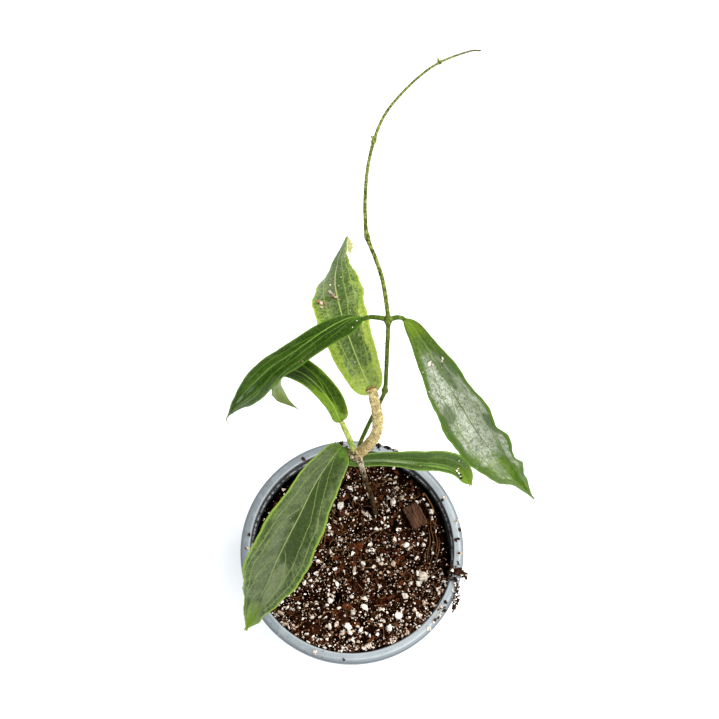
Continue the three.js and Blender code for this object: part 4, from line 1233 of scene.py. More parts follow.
TAILS = [   # thin threads at the tips of three leaves
    [(-53.6, 45.2, 143.6), (-54.4, 44.4, 142.6), (-54.2, 43, 142), (-53, 41.8, 141.8)],
    [(56, 28.4, 98), (55.7, 27.4, 97), (55.4, 26.1, 96)],
    [(-25.2, 51.6, 138), (-24.2, 51.4, 136), (-23.2, 51, 135.2)],
]
SCARS = {   # share along, place across, size and colour group of each dry scar or stuck crumb
    "leaf_mottled": [
        (0.455, -0.26, 1.5, "tan"), (0.44, -0.16, 1.7, "tan"), (0.425, -0.05, 1.6, "tan"),
        (0.41, 0.05, 1.1, "tan"), (0.46, -0.34, 1.0, "tan"), (0.41, -0.75, 1.5, "rust"),
        (0.4, -0.66, 1.4, "tan"), (0.395, -0.54, 1.4, "rust"), (0.38, -0.7, 1.0, "tan"),
        (0.43, -0.2, 1.0, "rust"), (0.54, 0.24, 0.5, "white"), (0.5, -0.25, 0.6, "white"),
        (0.49, 0.09, 0.5, "white"), (0.66, 0.55, 0.4, "white"), (0.34, 0.4, 0.4, "white"),
        (0.02, 0.12, 0.6, "rust"), (0.02, -0.25, 0.6, "rust"),
    ],
    "leaf_vine_right": [
        (0.19, 0.34, 1.7, "white"), (0.2, 0.2, 0.7, "white"), (0.2, -0.72, 0.9, "white"),
        (0.205, -0.58, 0.8, "white"), (0.225, -0.22, 0.4, "white"), (0.2, 0.93, 0.4, "white"),
        (0.26, 0.94, 0.4, "white"), (0.21, -0.66, 0.4, "rust"),
    ],
    "leaf_right": [
        (0.765, -0.3, 0.8, "white"), (0.77, -0.12, 1.3, "white"), (0.775, 0.08, 1.3, "dark"),
        (0.79, 0.25, 1.2, "rust"), (0.79, 0.42, 1.3, "white"), (0.8, 0.56, 1.5, "dark"),
        (0.8, 0.7, 1.1, "white"), (0.815, 0.85, 1.2, "dark"), (0.42, -0.1, 0.35, "white"),
        (0.44, 0.1, 0.4, "white"), (0.48, 0.42, 0.6, "tan"), (0.71, -0.75, 0.8, "tan"),
        (0.27, 0.5, 0.4, "tan"), (0.46, 0.6, 0.4, "rust"),
    ],
    "leaf_vine_left": [(0.27, -0.93, 0.5, "tan"), (0.025, 0.1, 0.5, "white"), (0.05, -0.6, 0.4, "white")],
    "leaf_curled": [(0.12, -0.85, 0.4, "dark")],
    "leaf_lower_left": [(0.33, 0.22, 0.3, "white"), (0.3, 0.02, 0.35, "rust"), (0.12, -0.5, 0.25, "white")],
}
SCAR_COLOURS = {
    "tan": ((255, 240, 214), (196, 158, 118)), "rust": ((216, 140, 96), (132, 66, 40)),
    "white": ((300, 292, 278), (236, 226, 204)), "dark": ((84, 56, 38), (28, 18, 12)),
}
FLAP = [   # the inner and the outer line of the dead edge at the mottled leaf's tip
    [(-1.9, 129.1, 154.9), (-2.5, 125.7, 157), (-2.7, 122.3, 159), (-2.3, 119, 161), (-1.2, 115.5, 163)],
    [(-1.6, 128.2, 155.4), (-0.2, 125, 157.9), (0.5, 121.7, 160), (0.4, 118.2, 161.8), (-0.5, 114.8, 163.2)],
]


def make_leaf_marks():
    """Dry scars and stuck crumbs on the blades, and the thin tails of some leaves."""
    random = np.random.default_rng(31)
    for group, (light, dark) in SCAR_COLOURS.items():
        places, sizes = [], []
        for name, marks in SCARS.items():
            for share, across, size, kind in marks:
                if kind == group:
                    above = 0.2 + 0.25 * size
                    places.append(on_blade(LEAVES[name], LOOKS[name], share, across, above))
                    sizes.append(0.85 * size)
        shapes = [chunk_shell(random, 14, 0.55) for _ in range(5)]
        paint = grain_paint(f"{group}_mark_paint", light, dark, 0.7)
        add_cloud(f"leaf_marks_{group}", shapes, np.array(places), np.array(sizes), random, paint, "leaf")
    colours = (120, 140, 72), (76, 98, 40), (110, 80, 50)
    add_twigs("leaf_tails", TAILS, lambda share: 0.32 - 0.22 * share, (16, 10),
              "leaf_tail_paint", colours, 0.5, "leaf")


FLAP_STEPS = (30, 8)          # how many steps it has along and across
FLAP_THICKNESS = 0.25


def make_dead_edge():
    """The pale dead flap along one side of the mottled leaf's tip."""
    steps, columns = FLAP_STEPS
    shares = np.linspace(0, 1, steps + 1)
    inner, outer = [curve_through(line, shares)[0] for line in FLAP]
    width = np.linspace(0, 1, columns + 1)[None, :, None]
    upper = inner[:, None] + (outer - inner)[:, None] * width
    ruffle = 0.3 * np.sin(17 * shares) + 0.2 * np.sin(41 * shares + 1)
    upper[..., 2] += ruffle[:, None] * width[..., 0] ** 2
    upper[..., 0] += 0.25 * np.sin(29 * shares)[:, None] * width[..., 0] ** 2
    lower = upper - np.array((0, 0, FLAP_THICKNESS))
    paint = Paint("dead_edge_paint", specular=0.2, roughness=0.7)
    where = paint.place()
    blotch = paint.noise(where, 0.5, 4.0, 0.6)
    colour = paint.mix(paint.step(blotch, 0.36, 0.64), tone(206, 196, 96), tone(244, 238, 186))
    colour = paint.mix(paint.step(paint.noise(where, 1.1, 2.0), 0.62, 0.7, 0.6), colour, tone(176, 140, 88))
    material = paint.done(colour, None, paint.bump(blotch, 0.5, 0.4))
    triangles = sheet_triangles(steps + 1, columns + 1)
    add_piece("leaf_mottled_dead_edge", sheet_rows(upper, lower), triangles, material, "leaf_mottled")


# ---------------------------------------------------------------- pot

def inner_radius(height):
    """The radius of the pot's inner wall below the ledge, which widens upwards."""
    foot = BASE_RADIUS - WALL
    return foot + (RIM_INNER_RADIUS - LEDGE_WIDTH - foot) * (height / LEDGE_HEIGHT)


def pot_profile():
    """Radius and height along the pot's section: up the outside, over the rim and down the inside."""
    skirt_foot, rim_under = POT_HEIGHT - SKIRT_HEIGHT, POT_HEIGHT - WALL
    outer = [(RIM_RADIUS - RIM_ROUND + RIM_ROUND * math.cos(a),
              POT_HEIGHT - RIM_ROUND + RIM_ROUND * math.sin(a)) for a in np.linspace(0, 1.4, 12)]
    lip = POT_HEIGHT - RIM_FALL
    inner = [(RIM_INNER_RADIUS + LIP_ROUND * (1 - math.sin(a)), lip - LIP_ROUND * (1 - math.cos(a)))
             for a in np.linspace(0.2, math.pi / 2, 7)]
    return [
        (BASE_RADIUS - BASE_CHAMFER, 0), (inner_radius(BASE_CHAMFER) + WALL, BASE_CHAMFER),
        (inner_radius(LEDGE_HEIGHT) + WALL, LEDGE_HEIGHT - WALL), (RIM_INNER_RADIUS + WALL, LEDGE_HEIGHT),
        (RIM_INNER_RADIUS + WALL, rim_under), (RIM_RADIUS - WALL, rim_under),
        (RIM_RADIUS - WALL - SKIRT_TAPER, skirt_foot), (RIM_RADIUS - SKIRT_TAPER - SKIRT_CHAMFER, skirt_foot),
        (RIM_RADIUS - SKIRT_TAPER, skirt_foot + SKIRT_CHAMFER), *outer,
        (RIM_RADIUS - RIM_CREST, POT_HEIGHT), *inner,
        (RIM_INNER_RADIUS, LEDGE_HEIGHT), (inner_radius(LEDGE_HEIGHT), LEDGE_HEIGHT),
        (inner_radius(BASE_THICKNESS), BASE_THICKNESS),
    ]


def lathe(profile, sectors, foot, floor):
    """A profile turned about the upright axis, closed at the middle of its underside and of its floor."""
    turn = even_turns(sectors)
    radius, height = np.array(profile).T
    rings = np.stack([radius[:, None] * np.cos(turn), radius[:, None] * np.sin(turn),
                      np.repeat(height[:, None], sectors, 1)], -1)
    points = np.concatenate([rings.reshape(-1, 3), [(0, 0, foot), (0, 0, floor)]])
    return points, ring_triangles(len(profile), sectors)


# Where the pot's looks change: heights, and distances from its axis.
# Painted light and shade: the pot is painted darker at the left and lighter at the right across this span.
PAINTED_LIGHT_SPAN = (-35, 55)              # across the rim, from its darker to its brighter side
RIDGE = (49.9, 50.4)          # the painted highlight along the rim's top, and where it ends
RIDGE_END = (50.9, 50.5)
ROUNDING = (50.6, 51.3)       # the rim's rounded edge, painted darker as shade, and the steeper part of it
# Where the shoulder is painted darker still, as shade.
SHOULDER = (51.3, 52.3)
SHOULDER_RISE = (82, 88)
# Where the painted highlight on the inner lip lies.
LIP = (48.9, 48.4)
LIP_RISE = (89.2, 89.6)
INSIDE_DEPTH = (1.0, 0.85)    # how far outside the sloping inner wall its dirt and painted shade end
INSIDE_FALL = (89.8, 89.0)
# Where the painted highlight along the ledge lies.
LEDGE = (47.1, 47.3)
LEDGE_FALL = (84.6, 84.2)


def pot_paint():
    """Satin blue-grey plastic, darker down the body, painted darker at the left and lighter at the right,
    with painted highlights on the rim's ridge, inner lip and ledge, painted shade on the rim's rounded edge
    and shoulder and down the inner wall, dust on the rim and dirt on the inner wall.
    """
    paint = Paint("pot_paint", specular=0.22)
    rim_underside = POT_HEIGHT - SKIRT_HEIGHT
    where = paint.place()
    x, y, z = paint.split(where)
    cloud = paint.noise(where, 0.05, 3.0, 0.5)
    smudge = paint.noise(where, 0.28, 4.0, 0.65)
    lit_side = paint.times_plus(cloud, 30, x)

    # The rim, from its top over its ridge and its rounded edge to the shoulder, and its inner lip: painted
    # darker at the left and lighter at the right, with a painted highlight along the ridge, painted shade on
    # the rounded edge and shoulder, and a painted highlight on the lip.
    colour = paint.mix(paint.step(lit_side, *PAINTED_LIGHT_SPAN), tone(142, 152, 157), tone(182, 192, 197))
    colour = paint.mix(paint.step(smudge, 0.46, 0.64, 0.35), colour, tone(190, 199, 203))
    reach = paint.math("SQRT", paint.plus(paint.times(x, x), paint.times(y, y)))
    # Painted highlight along the rim's ridge, strongest towards the right.
    ridge_highlight = paint.times(paint.step(reach, *RIDGE), paint.step(reach, *RIDGE_END))
    ridge_highlight = paint.times(ridge_highlight, paint.step(lit_side, -5, 40, 0.6))
    colour = paint.mix(ridge_highlight, colour, tone(214, 221, 225))
    # Painted shade on the rounded edge and, darker, on the shoulder.
    colour = paint.mix(paint.step(reach, *ROUNDING, 0.8), colour, tone(138, 147, 154))
    shoulder_shade = paint.times(paint.step(reach, *SHOULDER, 0.85), paint.step(z, *SHOULDER_RISE))
    colour = paint.mix(shoulder_shade, colour, tone(104, 112, 118))
    # Painted highlight on the inner lip.
    lip = paint.times(paint.step(reach, *LIP), paint.step(z, *LIP_RISE))
    colour = paint.mix(paint.times(lip, 0.5), colour, tone(206, 213, 216))

    # The body below the skirt, also painted darker at the left and lighter at the right.
    body = paint.mix(paint.step(lit_side, *PAINTED_LIGHT_SPAN), tone(128, 138, 145), tone(142, 152, 159))
    colour = paint.mix(paint.step(z, rim_underside + 0.4, rim_underside - 0.4), colour, body)

    # The inner wall, with painted shade that deepens downward and dirt stains over it, and a painted
    # highlight along its ledge.
    rise = (inner_radius(POT_HEIGHT) - inner_radius(0)) / POT_HEIGHT
    wall = paint.times_plus(z, rise, inner_radius(0))
    depth = paint.minus(reach, wall)
    inside = paint.times(paint.step(depth, *INSIDE_DEPTH), paint.step(z, *INSIDE_FALL))
    stain = paint.noise(where, 0.5, 4.0, 0.7)
    # Painted shade, deeper further down the inner wall.
    shaded_wall = paint.mix(paint.step(z, 89, 85), tone(106, 112, 115), tone(70, 73, 76))
    grime_and_shade = paint.mix(paint.step(stain, 0.46, 0.62, 0.85), shaded_wall, tone(50, 42, 36))
    colour = paint.mix(inside, colour, grime_and_shade)
    ledge = paint.times(paint.step(reach, *LEDGE), paint.step(z, *LEDGE_FALL))
    ledge = paint.times(ledge, inside)
    # Painted highlight along the ledge, broken where the wall is stained.
    ledge_highlight = paint.times(ledge, paint.step(stain, 0.6, 0.4, 0.9))
    colour = paint.mix(ledge_highlight, colour, tone(214, 218, 220))

    # Dark dust everywhere, in some places more than in others.
    specks = paint.step(paint.cells(where, 0.42), 0.14, 0.08)
    dust = paint.times(specks, paint.step(paint.noise(where, 0.2, 1.0), 0.5, 0.6))
    colour = paint.mix(dust, colour, tone(58, 50, 44))
    fine = paint.noise(where, 3.0, 2.0)
    return paint.done(colour, paint.times_plus(fine, 0.14, 0.3), paint.bump(fine, 0.12, 0.1))


POT_SECTORS = 192
SHARPEST = 35                 # in degrees: steeper edges of the pot than this stay sharp


def make_pot():
    """The pot as one turned shell, from whose floor the drain holes are cut."""
    points, triangles = lathe(pot_profile(), POT_SECTORS, 0, BASE_THICKNESS)
    pot = add_piece("nursery_pot", points, triangles, pot_paint(), "pot")
    drill = bmesh.new()
    for i in range(DRAIN_COUNT):
        turn = TURN * (i + 0.5) / DRAIN_COUNT
        hole = bmesh.ops.create_cone(drill, cap_ends=True, segments=32, radius1=DRAIN_RADIUS * MM,
                                     radius2=DRAIN_RADIUS * MM, depth=4 * BASE_THICKNESS * MM)
        shift = Vector((DRAIN_RING * math.cos(turn), DRAIN_RING * math.sin(turn), 0)) * MM
        bmesh.ops.translate(drill, verts=hole["verts"], vec=shift)
    cutter_mesh = bpy.data.meshes.new("drain_cutter")
    drill.to_mesh(cutter_mesh)
    drill.free()
    cutter = bpy.data.objects.new("drain_cutter", cutter_mesh)
    bpy.context.scene.collection.objects.link(cutter)
    cut = pot.modifiers.new("drains", "BOOLEAN")
    cut.operation, cut.solver, cut.object = "DIFFERENCE", "EXACT", cutter
    bpy.context.view_layer.update()
    graph = bpy.context.evaluated_depsgraph_get()
    cut_mesh = bpy.data.meshes.new_from_object(pot.evaluated_get(graph))
    pot.modifiers.clear()
    pot.data = cut_mesh
    bpy.data.objects.remove(cutter)
    shade_by_angle(pot, SHARPEST)
    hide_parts("pot")


def shade_by_angle(piece, degrees):
    """Smooth shading that keeps edges sharper than an angle."""
    work = bmesh.new()
    work.from_mesh(piece.data)
    for edge in work.edges:
        edge.smooth = edge.calc_face_angle(math.pi) < math.radians(degrees)
    for face in work.faces:
        face.smooth = True
    work.to_mesh(piece.data)
    work.free()


# ---------------------------------------------------------------- soil

def from_chip(x, y):
    """How far a place is from the chip's centre, seen from above."""
    return np.hypot(x - CHIP_CENTRE[0], y - CHIP_CENTRE[1])


def soil_height(x, y):
    """The height of the soil's surface, which is level under the loose chip."""
    share = np.hypot(x, y) / RIM_INNER_RADIUS
    to_right = np.maximum(0, x / RIM_INNER_RADIUS - np.abs(y - 8) / 60)
    to_front = np.maximum(0, -y / RIM_INNER_RADIUS)
    to_spill = np.maximum(0, (x - y) / math.sqrt(2) / RIM_INNER_RADIUS)
    heap = FRONT_HEAP * to_front * share**2 + SPILL_HEAP * to_spill**8
    dip = WALL_DIP * (1 - to_front) * share**6 + RIGHT_DIP * to_right**6
    long_lumps = LUMP * np.sin(0.31 * x + 1) * np.cos(0.27 * y)
    short_lumps = SHORT_LUMP * np.sin(0.83 * x - 0.6 * y)
    rough = SOIL_TOP + heap - dip + (long_lumps + short_lumps) * (1 - np.minimum(share, 1) ** 6)
    seat = CHIP_CENTRE[2] - CHIP_SIZE[2] / 2 - GAP
    return seat + (rough - seat) * smooth_step(from_chip(x, y), *CHIP_SEAT)


HOLES = [   # x, y, radius and depth of the dark hollows in the mix
    (8.1, 18.6, 2.6, 1.6), (-6.5, -23.4, 2.4, 1.4), (37, 6, 2.6, 1.2), (39.5, -3, 2.4, 1.2),
    (-12, 2, 2, 1), (16, -14, 1.8, 1), (3, 8, 1.8, 1), (-22, -22, 2, 1), (20.6, 8.8, 2, 1.2),
    (-31, 17, 2.4, 1.2), (10, -40, 2, 1),
]
BARK_PATCHES = [   # x, y and radius of the places where the mix is mostly reddish bark
    (1.8, 0.3, 3.4), (1.9, -18.4, 3.6), (30.5, -26.1, 2.6), (-17.8, -36.8, 3.2), (12.5, 29.1, 4),
    (-6.4, 9, 2.4), (13, -25, 3), (22, -6, 2.6), (-4, -31, 2.6),
]


def hollow(x, y):
    """How deep the hollows are at a place."""
    depth = np.zeros_like(x)
    for hx, hy, radius, deep in HOLES:
        depth = np.maximum(depth, deep * np.exp(-((x - hx) ** 2 + (y - hy) ** 2) / radius**2))
    return depth


def near_bark(x, y):
    """From 0 to 1: how far a place is inside the patches of bark."""
    share = np.zeros_like(x)
    for bx, by, radius in BARK_PATCHES:
        share = np.maximum(share, np.exp(-(((x - bx) ** 2 + (y - by) ** 2) / radius**2) ** 2))
    return share


def soil_paint():
    """Near-black mix with brown specks, redder among bark, with painted shade in the hollows and by the wall.
    """
    paint = Paint("soil_paint", roughness=1.0, specular=0.0)
    where = paint.place()
    coarse = paint.noise(where, 0.32, 5.0, 0.7)
    fine = paint.noise(where, 1.3, 5.0, 0.75)
    flecks = paint.cells(paint.stretch(where, (1, 1, 0.3)), 0.9)
    colour = paint.mix(paint.step(coarse, 0.42, 0.66), tone(3, 2, 1), tone(46, 25, 15))
    colour = paint.mix(paint.step(fine, 0.52, 0.64, 0.8), colour, tone(80, 46, 28))
    colour = paint.mix(paint.step(flecks, 0.24, 0.1, 0.7), colour, tone(118, 66, 36))
    colour = paint.mix(paint.stored("bark_share", "Fac"), colour, tone(66, 34, 20))
    # Painted shade in the hollows and by the wall.
    colour = paint.mix(paint.stored("shade", "Fac"), colour, tone(3, 2, 2))
    return paint.done(colour, None, paint.bump(fine, 1.0, 1.2))


SOIL_SECTORS = 260
SOIL_RINGS = 120


def make_soil():
    """The body of the mix, with a rough and hollowed top, inside the pot."""
    foot = BASE_THICKNESS + GAP
    turn = even_turns(SOIL_SECTORS)
    usual = inner_radius(SOIL_TOP) - GAP
    edge = soil_height(usual * np.cos(turn), usual * np.sin(turn))
    wall = inner_radius(np.minimum(edge, LEDGE_HEIGHT)) - GAP
    radius = wall[None] * np.linspace(1 / SOIL_RINGS, 1, SOIL_RINGS)[:, None]
    x, y = radius * np.cos(turn), radius * np.sin(turn)
    flat = np.stack([x, y, np.zeros_like(x)], -1).reshape(-1, 3)
    rough = sum(noise_at(flat, scale, seed) * height for scale, seed, height in SOIL_ROUGHNESS)
    surface = np.stack([x, y, soil_height(x, y) + rough.reshape(x.shape) - 0.5 - hollow(x, y)], -1)
    low = inner_radius(foot) - GAP
    bottom = np.stack([low * np.cos(turn), low * np.sin(turn), np.full(SOIL_SECTORS, foot)], -1)
    middles = [(0, 0, soil_height(0.0, 0.0)), (0, 0, foot)]
    points = np.concatenate([surface.reshape(-1, 3), bottom, middles])
    triangles = ring_triangles(SOIL_RINGS + 1, SOIL_SECTORS)[:, ::-1]

    # Painted shade: the mix is darkest in the hollows, and by the wall at the left and right.
    x, y, _ = points.T
    by_wall = smooth_step(np.hypot(x, y) / RIM_INNER_RADIUS, 0.88, 0.96)
    at_sides = smooth_step(np.abs(x) + 0.7 * y, 10, 30)
    shade = np.clip(hollow(x, y) * 0.9 + by_wall * at_sides, 0, 1)
    soil = add_piece("potting_mix", points, triangles, soil_paint(), "soil", shade=shade,
                     bark_share=0.8 * near_bark(x, y))
    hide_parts("soil")


def spread_places(random, count, margin, lift):
    """Random places on the soil, with fewer by the wall at the left and right and in the hollows."""
    turn = random.uniform(0, TURN, count)
    radius = (RIM_INNER_RADIUS - LEDGE_WIDTH - margin) * np.sqrt(random.random(count))
    x, y = radius * np.cos(turn), radius * np.sin(turn)
    by_wall = smooth_step(radius, 38, 45) * smooth_step(np.abs(x) + 0.7 * y, 26, 40)
    keep = random.random(count) > np.maximum(0.85 * by_wall, np.clip(0.7 * hollow(x, y), 0, 0.9))
    x, y = x[keep], y[keep]
    return np.stack([x, y, soil_height(x, y) - hollow(x, y) + random.uniform(*lift, len(x))], -1)


HEAPED_TURNS = (-2.75, -0.3)  # the angles between which the mix is heaped against the wall
EDGE_BAND = (3.6, 0.5)        # how far inside the rim its crumbs lie
EDGE_LIFT = 0.9


def edge_places(random, count):
    """Random places where the mix is heaped against the wall, from the left round the front to the right."""
    turn = random.uniform(*HEAPED_TURNS, count)
    radius = random.uniform(RIM_INNER_RADIUS - EDGE_BAND[0], RIM_INNER_RADIUS - EDGE_BAND[1], count)
    x, y = radius * np.cos(turn), radius * np.sin(turn)
    return np.stack([x, y, soil_height(x, y) + random.uniform(0.0, EDGE_LIFT, count)], -1)


GRAIN_SWELL = 0.5             # how far a rounded grain's surface swells and sinks
GRAIN_SUBDIVISIONS = 3


def grain_shapes(random, count):
    """Rounded grains of several shapes."""
    shapes = []
    for _ in range(count):
        points, triangles = ball_shell(GRAIN_SUBDIVISIONS)
        seed = random.uniform(0, 50)
        coarse, fine = noise_at(points, 1.4, seed), noise_at(points, 4.2, seed)
        swell = coarse * GRAIN_SWELL + fine * 0.35 * GRAIN_SWELL + 1
        flatten = random.uniform(0.62, 1, 3)
        shapes.append((points * swell[:, None] * flatten, triangles))
    return shapes


def grain_paint(name, light, dark, roughness, stain=None, specular=0.12):
    """A tint for each grain, from dark to light, with stains."""
    paint = Paint(name, roughness=roughness, specular=specular)
    where = paint.place()
    tint = paint.stored("tint", "Fac")
    fine = paint.noise(where, 2.6, 3.0, 0.7)
    share = paint.times_plus(paint.minus(fine, 0.5), 0.9, tint, clamp=True)
    colour = paint.mix(share, tone(*dark), tone(*light))
    if stain:
        blot = paint.noise(where, 1.25, 4.0, 0.75)
        colour = paint.mix(paint.step(blot, 0.53, 0.62, 0.85), colour, tone(*stain))
    return paint.done(colour, None, paint.bump(fine, 0.8, 0.35))


LARGE_GRAINS = [   # x, y, size
    (-5.9, 20.4, 1.9), (19.7, 22.3, 1.9), (25.5, 1.5, 1.7), (33.1, -13.5, 2.7), (21.6, -31.2, 1.9),
    (24.5, -22.2, 1.7), (0.5, -29.4, 1.6), (12.2, -5.6, 1.2), (-10.1, -24.0, 1.6), (31, -16.5, 1.5),
    (-2.0, -35.6, 1.5), (-1.0, -38.4, 1.5), (17, -36.5, 1.8), (-33.5, 12.5, 1.5), (-17.2, 26.2, 1.3),
]
PERLITE_WHITE = (314, 306, 292)   # brighter than white paper, as the brightest facets are
GREEN_SPECKS = [(-10.4, -7.0), (7.4, -34.7)]   # x, y
GREEN_SIZE = 0.55
MID_GRAINS = 640
SMALL_GRAINS = 1900
TAN_CRUMBS = 1700
DARK_CRUMBS = 3600
BARK_BITS = 420
HEAPED_BITS = 110             # the bits of bark that lie in the patches of bark
EDGE_CRUMBS = 520
EDGE_GRAINS = 230
CHIP_CLEARANCE = 1.8          # how far the small bits keep from the chip


def sizes_of(random, count, typical, spread, least, most):
    """Random sizes about a typical one, within limits."""
    return np.clip(typical * np.exp(random.normal(0, spread, count)), least, most)


def sprinkle(name, random, places, sizes, shapes, paint, slot="soil", flat=False):
    """A cloud of small bits that keeps clear of the chip; `sizes` is what `sizes_of` takes."""
    sizes = sizes_of(random, len(places), *sizes)
    clear = from_chip(places[:, 0], places[:, 1]) > CHIP_SIZE[1] / 2 + CHIP_CLEARANCE + sizes
    add_cloud(name, shapes, places[clear], sizes[clear], random, paint, slot, flat=flat)


def off_bark(random, places, share):
    """The places without a share of those in the patches of bark."""
    return places[random.random(len(places)) > share * near_bark(places[:, 0], places[:, 1])]


def make_grains():
    """The grains, crumbs and bits that lie on the mix."""
    random = np.random.default_rng(21)
    large = np.array([(x, y, soil_height(x, y) + 0.3 * size) for x, y, size in LARGE_GRAINS])
    large_sizes = np.array([size for *_, size in LARGE_GRAINS])
    paint = grain_paint("pumice_paint", PERLITE_WHITE, (232, 216, 196), 0.9, (112, 78, 56))
    round_shapes = grain_shapes(random, 8)
    add_cloud("pumice", round_shapes, large, large_sizes, random, paint, "soil", smooth=True)

    angular = [chunk_shell(random, 13, 0.8) for _ in range(14)]
    perlite_looks = PERLITE_WHITE, (222, 194, 166), 0.9, (104, 70, 48)
    paint = grain_paint("perlite_paint", *perlite_looks)
    places = off_bark(random, spread_places(random, MID_GRAINS, 1.3, (0.1, 0.9)), 0.8)
    sprinkle("perlite", random, places, (0.98, 0.4, 0.45, 2.1), angular, paint)
    places = off_bark(random, spread_places(random, SMALL_GRAINS, 0.9, (0.2, 1.1)), 0.6)
    sprinkle("perlite_dust", random, places, (0.37, 0.35, 0.18, 0.8), angular, paint)

    rough = [chunk_shell(random, 9, 0.65) for _ in range(12)]
    paint = grain_paint("tan_crumb_paint", (184, 134, 96), (70, 40, 24), 0.9, None, 0.02)
    places = spread_places(random, TAN_CRUMBS, 1.2, (0.1, 0.9))
    sprinkle("tan_crumbs", random, places, (0.5, 0.38, 0.2, 1.2), rough, paint)
    paint = grain_paint("crumb_paint", (84, 48, 29), (8, 4, 2), 0.95, None, 0.0)
    places = spread_places(random, DARK_CRUMBS, 0.9, (-0.3, 0.7))
    sprinkle("soil_crumbs", random, places, (0.72, 0.4, 0.35, 1.7), rough, paint)

    flakes = [chunk_shell(random, 12, 0.4) for _ in range(12)]
    bits = spread_places(random, BARK_BITS, 3.0, (-0.3, 0.5))
    middles = np.array([(x, y) for x, y, _ in BARK_PATCHES])
    pick = random.integers(len(middles), size=HEAPED_BITS)
    x, y = (middles[pick] + random.normal(0, 1.5, (HEAPED_BITS, 2))).T
    heaped = np.column_stack([x, y, soil_height(x, y) + random.uniform(0.0, 0.7, HEAPED_BITS)])
    paint = grain_paint("bark_bits_paint", (118, 62, 32), (30, 15, 8), 0.9, (20, 10, 6), 0.02)
    sprinkle("bark_bits", random, np.concatenate([bits, heaped]), (1.2, 0.45, 0.5, 3.2), flakes, paint,
             "bark", flat=True)

    paint = grain_paint("edge_crumb_paint", (120, 74, 48), (12, 7, 4), 0.95, None, 0.0)
    sprinkle("edge_crumbs", random, edge_places(random, EDGE_CRUMBS), (0.62, 0.4, 0.3, 1.3), rough, paint)
    paint = grain_paint("edge_perlite_paint", *perlite_looks)
    sprinkle("edge_perlite", random, edge_places(random, EDGE_GRAINS), (0.6, 0.4, 0.25, 1.3), angular, paint)

    green = np.array([(x, y, soil_height(x, y) + 0.9) for x, y in GREEN_SPECKS])
    paint = grain_paint("sprout_paint", (150, 206, 96), (92, 150, 60), 0.7)
    add_cloud("green_specks", angular, green, np.full(len(green), GREEN_SIZE), random, paint, "soil")


ROOTS = [   # the lines of the long dead roots beside the wall
    [(40.5, 15), (39.6, 9), (40.6, 3), (39.4, -3)],
    [(38.4, 17), (37.4, 11), (38.8, 5), (38.2, -2), (36.6, -7)],
    [(36.4, 10), (37.2, 4), (36, -1), (35.4, -6)], [(41.6, 6), (41.2, 0), (39.8, -5), (38, -9)],
    [(33.8, 23), (36.4, 18), (38.6, 11)], [(35, 27.5), (38, 22), (39.8, 17)],
    [(-35.6, 20), (-33, 24), (-30, 27)], [(-38, 11), (-37, 16), (-34.6, 21)],
    [(-26.2, -11), (-20.5, -13.4), (-17, -13)], [(16.8, 13), (14, 8), (9.5, 4)],
    [(-13.5, 14), (-12.8, 7), (-13.4, 1)], [(-9.2, 22), (-9.6, 16), (-8.8, 11)],
]
FIBRES = 400
FIBRE_REACH = 45.5            # how far from the pot's axis they lie at most
FIBRE_CLEARANCE = 2


def make_fibres():
    """The long roots and many short fibres that lie over the mix, clear of the chip."""
    random = np.random.default_rng(5)
    paths, shells = [], []
    for line in ROOTS:
        path = [(x, y, soil_height(x, y) + random.uniform(0.5, 1.3)) for x, y in line]
        paths.append((path, random.uniform(0.2, 0.34)))
    for x, y, z in spread_places(random, FIBRES, 4.0, (0.5, 1.3)):
        heading, bend = random.uniform(0, TURN), random.normal(0, 0.7)
        length, arch = random.uniform(1.5, 7), random.uniform(0.1, 0.8)
        path = []
        for share in (-0.5, -0.2, 0.2, 0.5):
            angle = heading + bend * share
            px, py = x + length * share * math.cos(angle), y + length * share * math.sin(angle)
            reach = math.hypot(px, py)
            if reach > FIBRE_REACH:
                px, py = px * FIBRE_REACH / reach, py * FIBRE_REACH / reach
            path.append((px, py, max(z, soil_height(px, py) + 0.4) + arch * (1 - 4 * share * share)))
        paths.append((path, random.uniform(0.08, 0.22)))
    for path, radius in paths:
        if min(from_chip(x, y) for x, y, _ in path) < CHIP_SIZE[1] / 2 + FIBRE_CLEARANCE:
            continue

        def radius_at(share):
            return radius * (1 - 0.7 * abs(2 * share - 1) ** 3)

        points, triangles, _ = tube_shell(path, radius_at, 10, 6)
        shells.append((points, triangles, np.full(len(points), random.random())))
    points, triangles, tint = joined(shells)
    paint = grain_paint("fibre_paint", (150, 106, 66), (34, 20, 12), 0.9, None, 0.02)
    add_piece("coir_fibres", points, triangles, paint, "soil", tint=tint)


CHIP_CUTS = 34
CHIP_FACE = 0.47              # past this, a point of the unit cube lies on a face


